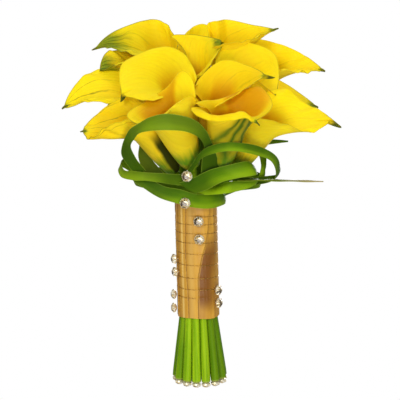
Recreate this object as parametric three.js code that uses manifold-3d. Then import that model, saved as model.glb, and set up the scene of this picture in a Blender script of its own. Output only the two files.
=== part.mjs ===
// A hand-tied bridal bouquet of yellow calla lilies: sixteen funnel-shaped spathes on long stems, loops of
// strap leaf round the neck, a satin ribbon handle wound with gold wire, crystal-headed pins in the handle
// and a crystal in the cut end of every stem, on which the bouquet stands. Millimetres, +Z up, front at -Y.
import * as THREE from 'three';
import { mergeVertices } from 'three/addons/utils/BufferGeometryUtils.js';
import Module from 'manifold-3d';

const wasm = await Module();
wasm.setup();

// Driving dimensions
const CLEARANCE = 0.3;              // gap between touching pieces
const PETAL_THICKNESS = 0.8;
const LEAF_THICKNESS = 0.8;
const STEM_RADIUS = 3.6;            // inside the handle
const FOOT_RADIUS = 4.6;            // at the cut end
const FOOT_CROWDING = 0.085;        // how far the feet crowd towards the front and the back, radians
const STEM_SIDES = 7;
const LEAN = -0.022;                // sideways lean of the handle, mm per mm of height
const HANDLE_BOTTOM = 69;
const HANDLE_TOP = 184;
const OUTER_RING = { stems: 13, bound: 15.7, foot: 23.6, phase: -100 };
const INNER_RING = { stems: 3, bound: 5.2, foot: 11.5, phase: -30 };
const BINDING = { inner: 19.7, outer: 20.2, sides: 24 };
const SLEEVE = { inner: 20.6, outer: 21.3, sides: 32 };
const WIRE = { radius: 0.5, bottom: 90, top: 172, turns: 9, stepsPerTurn: 12 };
const GEM = { height: 5, table: 2.6, girdle: 4.2, collet: 2.2 };
const PIN = { head: 5.2, table: 3.0, depth: 6.2, cup: 3.4, shaft: 0.6, point: 19.45, standoff: 0.4 };
const TUBE_BASE_RADIUS = 5.3;       // where a spathe clasps its stem
const TUBE_FULLNESS = 0.5;          // exponent of the funnel's widening
const MARGIN = { throat: 0.3, rim: -0.12 };   // how far each margin passes the seam, in eighths of a turn
const SPIRAL = { base: 0.9, throat: 1.3 };     // how far the margins stand in and out from the mid surface
const SPADIX = { radius: 3, reach: 0.8 };
const RIB_LEAN = 0.4;               // share by which a rib in the tube turns towards its place on the rim
const TIP = 4;                      // the tip's place on the rim, whose whole loop counts as 8
const TAIL_WIDTH = 0.3;             // half the width of the tail's root, on the same scale
const RIBS = [0, 0.5, 1.3, 2.1, 2.9, 3.7, 4, 4.3, 5.1, 5.9, 6.7, 7.5, 8];
const HEIGHTS = [0, 0.06, 0.2, 0.5, 0.65, 0.8, 0.92, 1];

const PETAL_FINISH = { color: 0xf2cf1c, roughness: 0.55, metalness: 0 };
const STEM_FINISH = { color: 0x86ab2c, roughness: 0.5, metalness: 0 };
const LEAF_FINISH = { color: 0x5f9418, roughness: 0.4, metalness: 0 };
const RIBBON_FINISH = { color: 0xc08a3c, roughness: 0.38, metalness: 0 };
const BINDING_FINISH = { color: 0x55702a, roughness: 0.8, metalness: 0 };
const WIRE_FINISH = { color: 0xc79a3e, roughness: 0.3, metalness: 1 };
const CRYSTAL_FINISH = { color: 0xe6e2d6, roughness: 0.08, metalness: 0 };

// Each bloom: slot is its stem's place in the bound handle, base and throat are the ends of its tube, mouth
// is the throat's radius, turn is the way the spathe is rolled, and rim is an even loop of points from the
// seam, where the margins overlap, round by the pointed tip, half-way along. lift rolls the limb outward,
// or inward where it is negative, and tail is the thin point that hangs from the tip.
const BLOOMS = [
  { name: 'front_left', slot: 0, base: [-8, -20, 223], throat: [-25, -60, 267], mouth: 18, turn: 1,
    lift: [0.1, 0.1, 0.05, 0.1, 0.3, 0.5, 0.5, 0.3], tail: [0, -1, -6],
    rim: [[-4, -66, 290], [-8, -54, 309], [-18, -46, 316], [-31, -40, 301],
      [-51, -38, 289], [-68, -64, 277], [-58, -88, 265], [-47, -91, 271],
      [-34, -89, 276], [-21, -85, 286], [-11, -80, 293], [-5, -74, 295]] },
  { name: 'front_right', slot: 1, base: [19, -22, 221], throat: [26, -62, 265], mouth: 18, turn: -1,
    lift: [0.1, 0.1, 0.1, 0.2, 0.6, 0.65, 0.55, 0.35], tail: [5, -1, -4],
    rim: [[-6, -80, 286], [4, -62, 289], [19, -50, 290], [38, -45, 297],
      [57, -48, 301], [67, -74, 286], [50, -112, 273], [40, -116, 276],
      [29, -116, 274], [15, -110, 273], [4, -104, 275], [-5, -94, 279]] },
  { name: 'low_left', slot: 12, base: [-26, -14, 218], throat: [-50, -42, 256], mouth: 13, turn: 1,
    lift: [0, 0, 0, 0, 0.1, -0.2, -0.35, -0.2], tail: [-3, -1, -1],
    rim: [[-50, -50, 272], [-64, -28, 291], [-85, -30, 285], [-104, -46, 270],
      [-110, -60, 261], [-101, -70, 256], [-87, -74, 266], [-70, -68, 272]] },
  { name: 'low_right', slot: 2, base: [34, -8, 218], throat: [56, -32, 257], mouth: 15, turn: -1,
    lift: 0.1, tail: [13, 3, -10],
    rim: [[42, -40, 275], [53, -24, 288], [69, -14, 296], [86, -12, 297],
      [99, -18, 286], [115, -31, 279], [124, -42, 271], [116, -50, 263],
      [102, -55, 260], [85, -60, 267], [68, -61, 271], [50, -53, 274]] },
  { name: 'centre_left', slot: 15, base: [-8, 0, 234], throat: [-18, -8, 290], mouth: 15, turn: 1,
    lift: 0.2, tail: [-1, -4, -11],
    rim: [[-4, -12, 304], [-6, 6, 315], [-16, 16, 331], [-34, 18, 338],
      [-57, 10, 333], [-77, -8, 321], [-75, -36, 296], [-63, -44, 291],
      [-49, -47, 290], [-37, -46, 292], [-26, -36, 297], [-13, -26, 300]] },
  { name: 'centre', slot: 13, base: [6, -6, 233], throat: [16, -20, 277], mouth: 14, turn: -1,
    lift: 0.15, tail: [12, -2, -3],
    rim: [[-4, -30, 292], [0, -10, 308], [22, -4, 325], [45, -10, 321],
      [61, -34, 312], [44, -48, 303], [26, -58, 291], [8, -58, 282]] },
  { name: 'centre_right', slot: 3, base: [12, 9, 237], throat: [37, 12, 290], mouth: 13, turn: -1,
    lift: 0.2, tail: [-1, -2, -4],
    rim: [[20, 4, 306], [17, 24, 331], [38, 33, 343], [74, 19, 331],
      [75, -14, 294], [65, -15, 300], [49, -2, 306], [33, -1, 307]] },
  { name: 'mid_left', slot: 11, base: [-24, 8, 233], throat: [-50, 4, 282], mouth: 13, turn: 1,
    lift: 0.2, tail: [-3, 0, -3],
    rim: [[-50, 1, 298], [-65, 25, 322], [-95, 29, 318], [-120, 16, 306],
      [-134, -4, 281], [-113, -14, 286], [-88, -22, 286], [-62, -22, 289]] },
  { name: 'upper_left', slot: 10, base: [-17, 24, 242], throat: [-43, 34, 300], mouth: 12, turn: 1,
    lift: 0.2, tail: [-1, -1, -2],
    rim: [[-38, 40, 320], [-53, 48, 330], [-78, 47, 334], [-95, 36, 332],
      [-100, 24, 316], [-86, 19, 320], [-68, 17, 323], [-50, 21, 323]] },
  { name: 'middle', slot: 14, base: [4, 20, 242], throat: [-3, 30, 302], mouth: 12, turn: -1,
    lift: 0.2, tail: [0, -2, -5],
    rim: [[-9, 20, 319], [-14, 28, 330], [-21, 38, 341], [-28, 46, 349],
      [-16, 48, 350], [0, 46, 349], [22, 32, 344], [19, 25, 337],
      [15, 18, 330], [10, 12, 321], [3, 10, 314], [-4, 12, 309]] },
  { name: 'top_left', slot: 8, base: [-7, 33, 252], throat: [-32, 57, 316], mouth: 13, turn: 1,
    lift: 0.25, tail: [-5, -1, -3],
    rim: [[-25, 50, 334], [-24, 58, 344], [-33, 66, 359], [-46, 70, 365],
      [-66, 66, 362], [-92, 58, 351], [-106, 46, 337], [-95, 40, 339],
      [-83, 36, 336], [-68, 30, 331], [-50, 28, 328], [-34, 34, 328]] },
  { name: 'top_right', slot: 6, base: [12, 37, 249], throat: [26, 48, 316], mouth: 13, turn: -1,
    lift: 0.2, tail: [5, 0, 1],
    rim: [[13, 38, 338], [8, 50, 348], [8, 56, 361], [17, 50, 363],
      [29, 62, 365], [53, 58, 360], [75, 44, 356], [65, 34, 353],
      [54, 28, 347], [41, 24, 344], [29, 20, 344], [19, 26, 341]] },
  { name: 'upper_right', slot: 4, base: [20, 26, 242], throat: [56, 44, 298], mouth: 14, turn: -1,
    lift: 0.2, tail: [4, 0, -3],
    rim: [[52, 38, 322], [53, 58, 344], [79, 58, 341], [105, 46, 330],
      [123, 30, 316], [109, 21, 314], [90, 19, 316], [71, 27, 318]] },
  { name: 'back_top', slot: 7, base: [0, 48, 250], throat: [-6, 68, 315], mouth: 14, turn: 1,
    lift: 0.2, tail: [-2, 2, -3],
    rim: [[5, 61, 334], [17, 84, 350], [4, 92, 361], [-13, 84, 353],
      [-25, 74, 334], [-25, 58, 332], [-14, 52, 334], [-2, 50, 334]] },
  { name: 'back_left', slot: 9, base: [-19, 35, 230], throat: [-40, 66, 272], mouth: 14, turn: 1,
    lift: 0.2, tail: [-3, 2, -3],
    rim: [[-31, 56, 298], [-23, 86, 310], [-45, 100, 314], [-75, 104, 301],
      [-101, 96, 272], [-84, 68, 272], [-65, 54, 282], [-46, 48, 292]] },
  { name: 'back_right', slot: 5, base: [24, 34, 230], throat: [40, 66, 274], mouth: 14, turn: -1,
    lift: 0.2, tail: [3, 1, -2],
    rim: [[30, 58, 298], [25, 86, 313], [49, 102, 316], [86, 100, 302],
      [122, 74, 276], [96, 62, 274], [70, 54, 286], [46, 48, 298]] },
];

// Each strap leaf is a band between two edges, lower and upper, from its root to its free end.
const LEAVES = [
  { name: 'arch_left', steps: 30,
    lower: [[1, -39, 218], [2, -51, 232], [4, -64, 246], [-2, -78, 256], [-13, -92, 262],
      [-29, -99, 264], [-46, -97, 263], [-56, -88, 260], [-61, -78, 254], [-65, -66, 246],
      [-61, -54, 234], [-52, -42, 220]],
    upper: [[19, -38, 221], [16, -54, 236], [11, -67, 250], [5, -80, 263], [-7, -93, 274],
      [-29, -101, 279], [-45, -99, 276], [-57, -91, 269], [-66, -80, 262], [-73, -68, 247],
      [-74, -54, 235], [-66, -42, 221]] },
  { name: 'arch_right', steps: 26,
    lower: [[-11, -40, 215], [-3, -52, 227], [4, -64, 236], [21, -74, 242], [37, -74, 242], [55, -64, 237],
      [67, -50, 231], [73, -36, 220], [71, -22, 208], [55, -14, 203], [38, -10, 200]],
    upper: [[-13, -40, 219], [-6, -54, 230], [3, -66, 243], [20, -74, 250], [39, -74, 250], [56, -66, 246],
      [71, -52, 237], [77, -36, 226], [77, -20, 215], [61, -12, 211], [38, -10, 208]] },
  { name: 'broad', steps: 16,
    lower: [[-4, -34, 197], [7, -41, 202], [21, -47, 210], [35, -50, 214], [50, -46, 216], [55, -38, 216],
      [49, -28, 214], [35, -18, 210]],
    upper: [[-20, -36, 208], [-7, -41, 213], [10, -47, 222], [28, -51, 227], [44, -48, 230], [52, -38, 225],
      [49, -28, 223], [35, -18, 218]] },
  { name: 'band_left', steps: 20,
    lower: [[-8, -28, 204], [-24, -36, 206], [-38, -43, 209], [-52, -45, 211], [-64, -42, 211],
      [-76, -34, 213], [-80, -24, 219], [-76, -12, 220], [-63, -3, 211], [-42, 4, 202]],
    upper: [[-8, -28, 214], [-21, -36, 216], [-38, -43, 218], [-52, -45, 219], [-65, -40, 220],
      [-73, -34, 220], [-77, -24, 226], [-74, -14, 229], [-63, -3, 222], [-42, 4, 212]] },
  { name: 'collar', steps: 18,
    lower: [[-68, -34, 212], [-56, -38, 204], [-39, -36, 193], [-21, -33, 187], [-3, -28, 182],
      [14, -20, 181], [25, -2, 183], [16, 18, 183], [-2, 25, 185]],
    upper: [[-64, -32, 220], [-50, -38, 213], [-35, -38, 205], [-19, -34, 201], [-2, -30, 196],
      [14, -20, 196], [25, -2, 193], [16, 18, 196], [-2, 25, 197]] },
  { name: 'under', steps: 16,
    lower: [[-42, -29, 206], [-14, -26, 196], [7, -28, 195], [27, -37, 198], [44, -38, 202],
      [55, -30, 206], [47, -19, 204], [32, -12, 203]],
    upper: [[-31, -29, 210], [-18, -26, 203], [10, -28, 202], [27, -37, 209], [44, -38, 210],
      [56, -30, 211], [47, -19, 211], [32, -12, 211]] },
  { name: 'blade', steps: 8,
    lower: [[36, -46, 211], [58, -47, 211], [84, -44, 210], [119, -40, 209]],
    upper: [[36, -39, 211], [58, -40, 212], [84, -38, 211], [119, -39, 210]] },
  { name: 'left_inner', steps: 12,
    lower: [[-51, 2, 208], [-57, -4, 217], [-61, -8, 230], [-59.5, -14, 243]],
    upper: [[-34, 2, 210], [-41, -4, 219], [-50, -8, 231], [-57.5, -14, 243]] },
  { name: 'right_small', steps: 10,
    lower: [[57, 0, 236], [60, -2, 226], [60, -6, 217], [54, -6, 207], [24.6, -6, 198]],
    upper: [[66, 0, 234], [66, -2, 225], [65, -6, 218], [60, -6, 206], [24.9, -6, 191]] },
  { name: 'tip_behind', steps: 14,
    lower: [[20.4, 14.2, 193.6], [33, 17, 207], [39, 19, 225], [50, 19, 237], [70, 18, 240], [89, 18, 242.5]],
    upper: [[21, 15, 203], [26, 17, 212], [31, 19, 229], [45, 20, 243], [72, 19, 245], [89, 18, 244]] },
  { name: 'back_left', steps: 16,
    lower: [[-10, 24, 197], [-28, 44, 200], [-46, 54, 202], [-62, 48, 200], [-66, 34, 197], [-56, 22, 195],
      [-40, 16, 195]],
    upper: [[-10, 24, 208], [-28, 46, 211], [-48, 56, 213], [-65, 48, 211], [-69, 34, 207], [-56, 22, 205],
      [-40, 16, 205]] },
  { name: 'back_right', steps: 16,
    lower: [[10, 22.6, 195], [30, 46, 199], [48, 54, 199], [61, 44, 197], [60, 26, 195], [46, 16, 194],
      [30, 12, 193]],
    upper: [[10, 22.6, 206], [30, 48, 210], [50, 56, 210], [64, 44, 207], [63, 26, 204], [46, 16, 203],
      [30, 12, 202]] },
];

// Pins in the handle, by height and by angle round it, where -90 degrees is the front.
const HANDLE_PINS = [
  [168, -85], [150, -84], [128, -157], [115, -154], [91, -168], [77, -170], [97, -34], [84, -33],
  [147.5, 70], [129, 74],
];
// Pins through the leaf bands: the centre of the head's back face, and the length of the shaft.
const LEAF_PINS = [
  { at: [-12.5, -41, 215], shaft: 10 },
  { at: [-14.5, -33.6, 188], shaft: 8 },
];

const vector = (a) => new THREE.Vector3(...a);

// A solid from shared corners and triangles
function solidOf(corners, triangles) {
  const vertProperties = new Float32Array(corners.flatMap((p) => [p.x, p.y, p.z]));
  const triVerts = new Uint32Array(triangles.flat());
  return new wasm.Manifold(new wasm.Mesh({ numProp: 3, vertProperties, triVerts }));
}

// A solid through rings of equally many points, closed by a fan at each end
function loft(rings) {
  const sides = rings[0].length;
  const corners = rings.flat();
  const triangles = [];
  for (let k = 0; k + 1 < rings.length; k++) {
    for (let i = 0; i < sides; i++) {
      const a = k * sides + i;
      const b = k * sides + (i + 1) % sides;
      triangles.push([a, b, b + sides], [a, b + sides, a + sides]);
    }
  }
  const middle = (ring) => ring.reduce((sum, p) => sum.add(p), new THREE.Vector3()).divideScalar(sides);
  const first = corners.push(middle(rings[0])) - 1;
  const last = corners.push(middle(rings[rings.length - 1])) - 1;
  const top = (rings.length - 1) * sides;
  for (let i = 0; i < sides; i++) {
    const next = (i + 1) % sides;
    triangles.push([first, next, i], [last, top + i, top + next]);
  }
  return solidOf(corners, triangles);
}

// A ring of points about a centre, square to a direction
function ring(centre, direction, radius, sides) {
  const along = direction.clone().normalize();
  const across = new THREE.Vector3(1, 0, 0).addScaledVector(along, -along.x).normalize();
  const third = new THREE.Vector3().crossVectors(along, across);
  return Array.from({ length: sides }, (_, i) => {
    const angle = 2 * Math.PI * i / sides;
    return centre.clone()
      .addScaledVector(across, radius * Math.cos(angle))
      .addScaledVector(third, radius * Math.sin(angle));
  });
}

// A thin closed sheet about a grid of points, split alike on both faces; grow thickens and widens it
function sheet(grid, thickness, grow) {
  const columns = grid.length;
  const rows = grid[0].length;
  const at = (i, j) => grid[Math.min(Math.max(i, 0), columns - 1)][Math.min(Math.max(j, 0), rows - 1)];
  const faces = [[], []];
  for (let i = 0; i < columns; i++) {
    for (let j = 0; j < rows; j++) {
      const along = at(i + 1, j).clone().sub(at(i - 1, j)).normalize();
      const up = at(i, j + 1).clone().sub(at(i, j - 1)).normalize();
      const normal = new THREE.Vector3().crossVectors(along, up).normalize();
      const point = grid[i][j].clone();
      if (i === 0 || i === columns - 1) {
        point.addScaledVector(along, i === 0 ? -grow : grow);
      }
      if (j === 0 || j === rows - 1) {
        point.addScaledVector(up, j === 0 ? -grow : grow);
      }
      const half = thickness / 2 + grow;
      faces[0].push(point.clone().addScaledVector(normal, half));
      faces[1].push(point.clone().addScaledVector(normal, -half));
    }
  }
  const under = columns * rows;
  const index = (i, j) => i * rows + j;
  const triangles = [];
  for (let i = 0; i + 1 < columns; i++) {
    for (let j = 0; j + 1 < rows; j++) {
      const [a, b, c, d] = [index(i, j), index(i + 1, j), index(i + 1, j + 1), index(i, j + 1)];
      triangles.push([a, b, c], [a, c, d]);
      triangles.push([a + under, c + under, b + under], [a + under, d + under, c + under]);
    }
  }
  const border = [];
  for (let i = 0; i + 1 < columns; i++) {
    border.push([index(i, 0), index(i + 1, 0)], [index(i + 1, rows - 1), index(i, rows - 1)]);
  }
  for (let j = 0; j + 1 < rows; j++) {
    border.push([index(columns - 1, j), index(columns - 1, j + 1)], [index(0, j + 1), index(0, j)]);
  }
  for (const [a, b] of border) {
    triangles.push([b, a, a + under], [b, a + under, b + under]);
  }
  return solidOf(faces.flat(), triangles);
}

// A point of the smooth curve through a list of points, by position 0 to length - 1
function along(points, position) {
  const curve = new THREE.CatmullRomCurve3(points.map(vector), false, 'catmullrom', 0.5);
  return curve.getPoint(position / (points.length - 1));
}

// A point of the smooth closed curve through a loop of points, by rib, from 0 to 8 round the whole loop
function round(points, rib) {
  const curve = new THREE.CatmullRomCurve3(points.map(vector), true, 'catmullrom', 0.5);
  return curve.getPoint(((rib + 8) % 8) / 8);
}

// A point of a spathe's mid surface: a rib climbs the tube from the base, passes the throat at half height
// and bends out to its place on the rim. In the tube it leans from its even share of the turn towards the
// bearing of its place on the rim.
function spathePoint(bloom, rib, height) {
  const base = vector(bloom.base);
  const throat = vector(bloom.throat);
  const length = throat.distanceTo(base);
  const axis = throat.clone().sub(base).normalize();
  const toTip = vector(bloom.rim[bloom.rim.length / 2]).sub(throat);
  const front = toTip.addScaledVector(axis, -toTip.dot(axis)).normalize();
  const side = new THREE.Vector3().crossVectors(axis, front);
  const strays = bloom.rim.map((place, k) => {
    const toPlace = vector(place).sub(throat);
    const bearing = Math.atan2(bloom.turn * toPlace.dot(side), toPlace.dot(front));
    const stray = bearing - (k * 8 / bloom.rim.length - TIP) * Math.PI / 4;
    return [Math.atan2(Math.sin(stray), Math.cos(stray)), 0, 0];
  });
  const angle = bloom.turn * ((rib - TIP) * Math.PI / 4 + RIB_LEAN * round(strays, rib).x);
  const radial = front.multiplyScalar(Math.cos(angle)).addScaledVector(side, Math.sin(angle));
  const widening = bloom.mouth - TUBE_BASE_RADIUS;
  const inTube = Math.min(2 * height, 1);
  const tube = base.addScaledVector(axis, length * inTube)
    .addScaledVector(radial, TUBE_BASE_RADIUS + widening * inTube ** TUBE_FULLNESS);
  if (height <= 0.5) {
    return tube;
  }
  const lifts = Array.isArray(bloom.lift) ? bloom.lift : bloom.rim.map(() => bloom.lift);
  const lift = round(lifts.map((value) => [value, 0, 0]), rib).x;
  const target = round(bloom.rim, rib)
    .addScaledVector(vector(bloom.tail), Math.max(0, 1 - Math.abs(rib - TIP) / TAIL_WIDTH));
  const reach = target.distanceTo(tube);
  const rise = axis.clone().multiplyScalar(length)
    .addScaledVector(radial, widening * TUBE_FULLNESS)
    .normalize();
  const leave = tube.clone().addScaledVector(rise, 0.36 * reach);
  const crest = tube.clone().add(target).multiplyScalar(0.5).addScaledVector(axis, reach * lift);
  const arrive = target.clone().lerp(crest, 0.62);
  return new THREE.CubicBezierCurve3(tube, leave, arrive, target).getPoint(2 * height - 1);
}

// The spathe's sheet: it spirals in towards one margin and out towards the other, so that they overlap
function spatheGrid(bloom) {
  const step = 0.01;
  return RIBS.map((place) => HEIGHTS.map((height) => {
    const passes = MARGIN.throat + (MARGIN.rim - MARGIN.throat) * Math.max(0, 2 * height - 1);
    const rib = place + (place === 0 ? -passes : 0) + (place === 8 ? passes : 0);
    const point = spathePoint(bloom, rib, height);
    const low = Math.min(height, 1 - step);
    const onward = spathePoint(bloom, rib + step, low).sub(spathePoint(bloom, rib - step, low));
    const up = spathePoint(bloom, rib, low + step).sub(spathePoint(bloom, rib, low));
    const outward = onward.cross(up).multiplyScalar(bloom.turn).normalize();
    const share = Math.min(2 * height, 1);
    const spiral = SPIRAL.base + (SPIRAL.throat - SPIRAL.base) * share;
    return point.addScaledVector(outward, spiral * (rib - TIP) / TIP);
  }));
}

function spathe(bloom, grow) {
  const grid = spatheGrid(bloom);
  return sheet(bloom.turn > 0 ? grid : grid.reverse(), PETAL_THICKNESS, grow);
}

function leaf(strip, grow) {
  const grid = Array.from({ length: strip.steps + 1 }, (_, i) => {
    const position = (strip.lower.length - 1) * i / strip.steps;
    return [along(strip.lower, position), along(strip.upper, position)];
  });
  return sheet(grid, LEAF_THICKNESS, grow);
}

// The ring that a stem stands in, and its bearing there
function seatOf(slot) {
  const outer = slot < OUTER_RING.stems;
  const rule = outer ? OUTER_RING : INNER_RING;
  const order = outer ? slot : slot - OUTER_RING.stems;
  return { rule, angle: THREE.MathUtils.degToRad(rule.phase + 360 * order / rule.stems) };
}

// The place of a stem in the bound handle at a height, and of its cut end
function boundPlace(slot, height) {
  const { rule, angle } = seatOf(slot);
  return new THREE.Vector3(
    LEAN * height + rule.bound * Math.cos(angle), rule.bound * Math.sin(angle), height);
}

function footPlace(slot) {
  if (slot === OUTER_RING.stems) {
    return new THREE.Vector3(0, 0, 0);
  }
  const { rule, angle } = seatOf(slot);
  const crowded = angle + FOOT_CROWDING * Math.sin(2 * angle);
  return new THREE.Vector3(rule.foot * Math.cos(crowded), rule.foot * Math.sin(crowded), 0);
}

// A stem with the crystal under its cut end and the spadix that it ends in, one closed rod
function stem(bloom, grow) {
  const foot = footPlace(bloom.slot);
  const low = boundPlace(bloom.slot, HANDLE_BOTTOM);
  const high = boundPlace(bloom.slot, HANDLE_TOP);
  const base = vector(bloom.base);
  const axis = vector(bloom.throat).sub(base);
  const up = new THREE.Vector3(0, 0, 1);
  const rings = [];
  const add = (centre, direction, radius) => {
    rings.push(ring(centre, direction, radius + grow, STEM_SIDES));
  };
  const level = (height, radius) => add(foot.clone().setZ(height), up, radius);
  level(0, GEM.table);
  level(0.36 * GEM.height, GEM.girdle);
  level(0.6 * GEM.height, GEM.girdle);
  level(GEM.height, GEM.collet);
  const cut = foot.clone().setZ(GEM.height + 0.2);
  const splay = low.clone().sub(cut);
  add(cut, up, FOOT_RADIUS);
  add(cut.clone().addScaledVector(splay, 0.5), splay, (FOOT_RADIUS + STEM_RADIUS) / 2);
  add(low, splay, STEM_RADIUS);
  add(low.clone().lerp(high, 0.12), high.clone().sub(low), STEM_RADIUS);
  const fan = high.distanceTo(base);
  const leave = high.clone().sub(new THREE.Vector3(LEAN * HANDLE_TOP, 0, 0)).setZ(60).setLength(fan / 3);
  const neck = new THREE.CubicBezierCurve3(
    high, high.clone().add(leave), base.clone().addScaledVector(axis, -fan / 3 / axis.length()), base);
  for (const q of [0, 0.3, 0.6, 0.85]) {
    add(neck.getPoint(q), neck.getTangent(q), STEM_RADIUS);
  }
  add(base, axis, STEM_RADIUS);
  add(base.clone().addScaledVector(axis, 0.1), axis, SPADIX.radius);
  add(base.clone().addScaledVector(axis, 0.93 * SPADIX.reach), axis, 0.85 * SPADIX.radius);
  add(base.clone().addScaledVector(axis, SPADIX.reach), axis, 0.3 * SPADIX.radius);
  return loft(rings);
}

// A round sleeve about the handle's axis, open at both ends
function sleeveGeometry(shape) {
  const profile = [
    [shape.inner, HANDLE_BOTTOM], [shape.outer, HANDLE_BOTTOM], [shape.outer, HANDLE_TOP],
    [shape.inner, HANDLE_TOP], [shape.inner, HANDLE_BOTTOM],
  ].map(([x, y]) => new THREE.Vector2(x, y));
  const geometry = new THREE.LatheGeometry(profile, shape.sides);
  geometry.rotateX(Math.PI / 2);
  geometry.applyMatrix4(new THREE.Matrix4().makeShear(0, 0, 0, 0, LEAN, 0));
  geometry.deleteAttribute('normal');
  geometry.deleteAttribute('uv');
  return mergeVertices(geometry, 1e-3);
}

function sleeve(shape) {
  const geometry = sleeveGeometry(shape);
  const position = geometry.getAttribute('position');
  const corners = Array.from({ length: position.count }, (_, i) => (
    new THREE.Vector3().fromBufferAttribute(position, i)));
  const order = Array.from(geometry.index.array);
  const triangles = [];
  for (let i = 0; i < order.length; i += 3) {
    triangles.push(order.slice(i, i + 3));
  }
  return solidOf(corners, triangles);
}

// The gold wire, wound down the handle in one even screw
function wire(grow) {
  const steps = WIRE.turns * WIRE.stepsPerTurn;
  const radius = (SLEEVE.outer + CLEARANCE + WIRE.radius) / Math.cos(Math.PI / WIRE.stepsPerTurn);
  const place = (k) => {
    const angle = 2 * Math.PI * k / WIRE.stepsPerTurn;
    const height = WIRE.top + (WIRE.bottom - WIRE.top) * k / steps;
    return new THREE.Vector3(
      LEAN * height + radius * Math.cos(angle), radius * Math.sin(angle), height);
  };
  const rings = [];
  for (let k = 0; k <= steps; k++) {
    rings.push(ring(place(k), place(k + 1).sub(place(k - 1)), WIRE.radius + grow, 4));
  }
  return loft(rings);
}

// A pin: a shaft, a cup and the faceted crystal that it holds, pointing along a direction
function pin(back, direction, shaft, grow) {
  const rings = [];
  const add = (distance, radius) => {
    rings.push(ring(back.clone().addScaledVector(direction, distance), direction, radius + grow, 8));
  };
  add(-shaft - grow, PIN.shaft);
  add(-0.01 - grow, PIN.shaft);
  add(-grow, PIN.cup);
  add(0.45 * PIN.depth, PIN.head);
  add(0.6 * PIN.depth, PIN.head);
  add(PIN.depth + grow, PIN.table);
  return loft(rings);
}

function handlePin([height, degrees], grow) {
  const angle = THREE.MathUtils.degToRad(degrees);
  const direction = new THREE.Vector3(Math.cos(angle), Math.sin(angle), 0);
  const standoff = SLEEVE.outer + PIN.standoff;
  const back = new THREE.Vector3(LEAN * height, 0, height).addScaledVector(direction, standoff);
  return pin(back, direction, standoff - PIN.point, grow);
}

// The pieces, in the order in which they give way: each is cut clear of those listed before it
const pieces = [];
for (const bloom of BLOOMS) {
  pieces.push({ name: `stem_${bloom.name}`, finish: STEM_FINISH, make: (grow) => stem(bloom, grow) });
}
pieces.push({ name: 'gold_wire', finish: WIRE_FINISH, make: wire });
HANDLE_PINS.forEach((place, i) => {
  pieces.push({
    name: `pin_handle_${i + 1}`,
    finish: CRYSTAL_FINISH,
    make: (grow) => handlePin(place, grow),
  });
});
LEAF_PINS.forEach(({ at, shaft }, i) => {
  const forward = new THREE.Vector3(0, -1, 0);
  pieces.push({
    name: `pin_leaf_${i + 1}`,
    finish: CRYSTAL_FINISH,
    make: (grow) => pin(vector(at), forward, shaft, grow),
  });
});
pieces.push({ name: 'ribbon_sleeve', finish: RIBBON_FINISH, make: () => sleeve(SLEEVE) });
pieces.push({ name: 'stem_binding', finish: BINDING_FINISH, make: () => sleeve(BINDING) });
for (const bloom of BLOOMS) {
  pieces.push({ name: `spathe_${bloom.name}`, finish: PETAL_FINISH, make: (grow) => spathe(bloom, grow) });
}
for (const strip of LEAVES) {
  pieces.push({ name: `leaf_${strip.name}`, finish: LEAF_FINISH, make: (grow) => leaf(strip, grow) });
}

function boxesMeet(a, b) {
  return [0, 1, 2].every((k) => a.min[k] < b.max[k] && b.min[k] < a.max[k]);
}

// What is left of a solid once it is cut clear of earlier pieces: its largest part
function cutClear(solid, earlier) {
  let rest = solid;
  for (const other of earlier) {
    if (boxesMeet(rest.boundingBox(), other.boundingBox()) && rest.intersect(other).volume() > 0) {
      rest = rest.subtract(other);
    }
  }
  const parts = rest.decompose();
  return parts.reduce((best, part) => (part.volume() > best.volume() ? part : best));
}

function meshOf(name, finish, solid) {
  const mesh = solid.getMesh();
  const geometry = new THREE.BufferGeometry();
  geometry.setAttribute('position', new THREE.BufferAttribute(new Float32Array(mesh.vertProperties), 3));
  geometry.setIndex(new THREE.BufferAttribute(new Uint32Array(mesh.triVerts), 1));
  geometry.computeVertexNormals();
  const result = new THREE.Mesh(geometry, new THREE.MeshStandardMaterial(finish));
  result.name = name;
  return result;
}

const bouquet = new THREE.Group();
const earlier = [];
for (const piece of pieces) {
  const solid = cutClear(piece.make(0), earlier);
  bouquet.add(meshOf(piece.name, piece.finish, solid));
  earlier.push(piece.make(CLEARANCE).add(solid));
}

export default bouquet;
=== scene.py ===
"""A hand-tied bridal bouquet of yellow calla lilies, dressed over its CAD frame.

Numbers are millimetres, as in the part's source, until a mesh is made. +Z is up and the front is at -Y.
"""
import math

import bpy
import numpy as np
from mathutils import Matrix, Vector


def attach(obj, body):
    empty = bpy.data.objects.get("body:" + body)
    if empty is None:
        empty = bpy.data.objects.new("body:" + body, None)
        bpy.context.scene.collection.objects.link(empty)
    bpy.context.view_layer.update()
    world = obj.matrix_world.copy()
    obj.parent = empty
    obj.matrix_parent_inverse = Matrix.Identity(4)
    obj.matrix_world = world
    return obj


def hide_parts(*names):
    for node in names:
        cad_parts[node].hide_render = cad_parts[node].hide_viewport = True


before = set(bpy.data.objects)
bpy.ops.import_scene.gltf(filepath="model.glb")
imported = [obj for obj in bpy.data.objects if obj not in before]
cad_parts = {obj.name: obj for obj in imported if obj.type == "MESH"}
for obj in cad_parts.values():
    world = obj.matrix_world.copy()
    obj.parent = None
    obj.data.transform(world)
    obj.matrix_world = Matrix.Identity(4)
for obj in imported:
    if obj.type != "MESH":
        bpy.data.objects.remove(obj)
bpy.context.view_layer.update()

MM = 0.001

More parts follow.
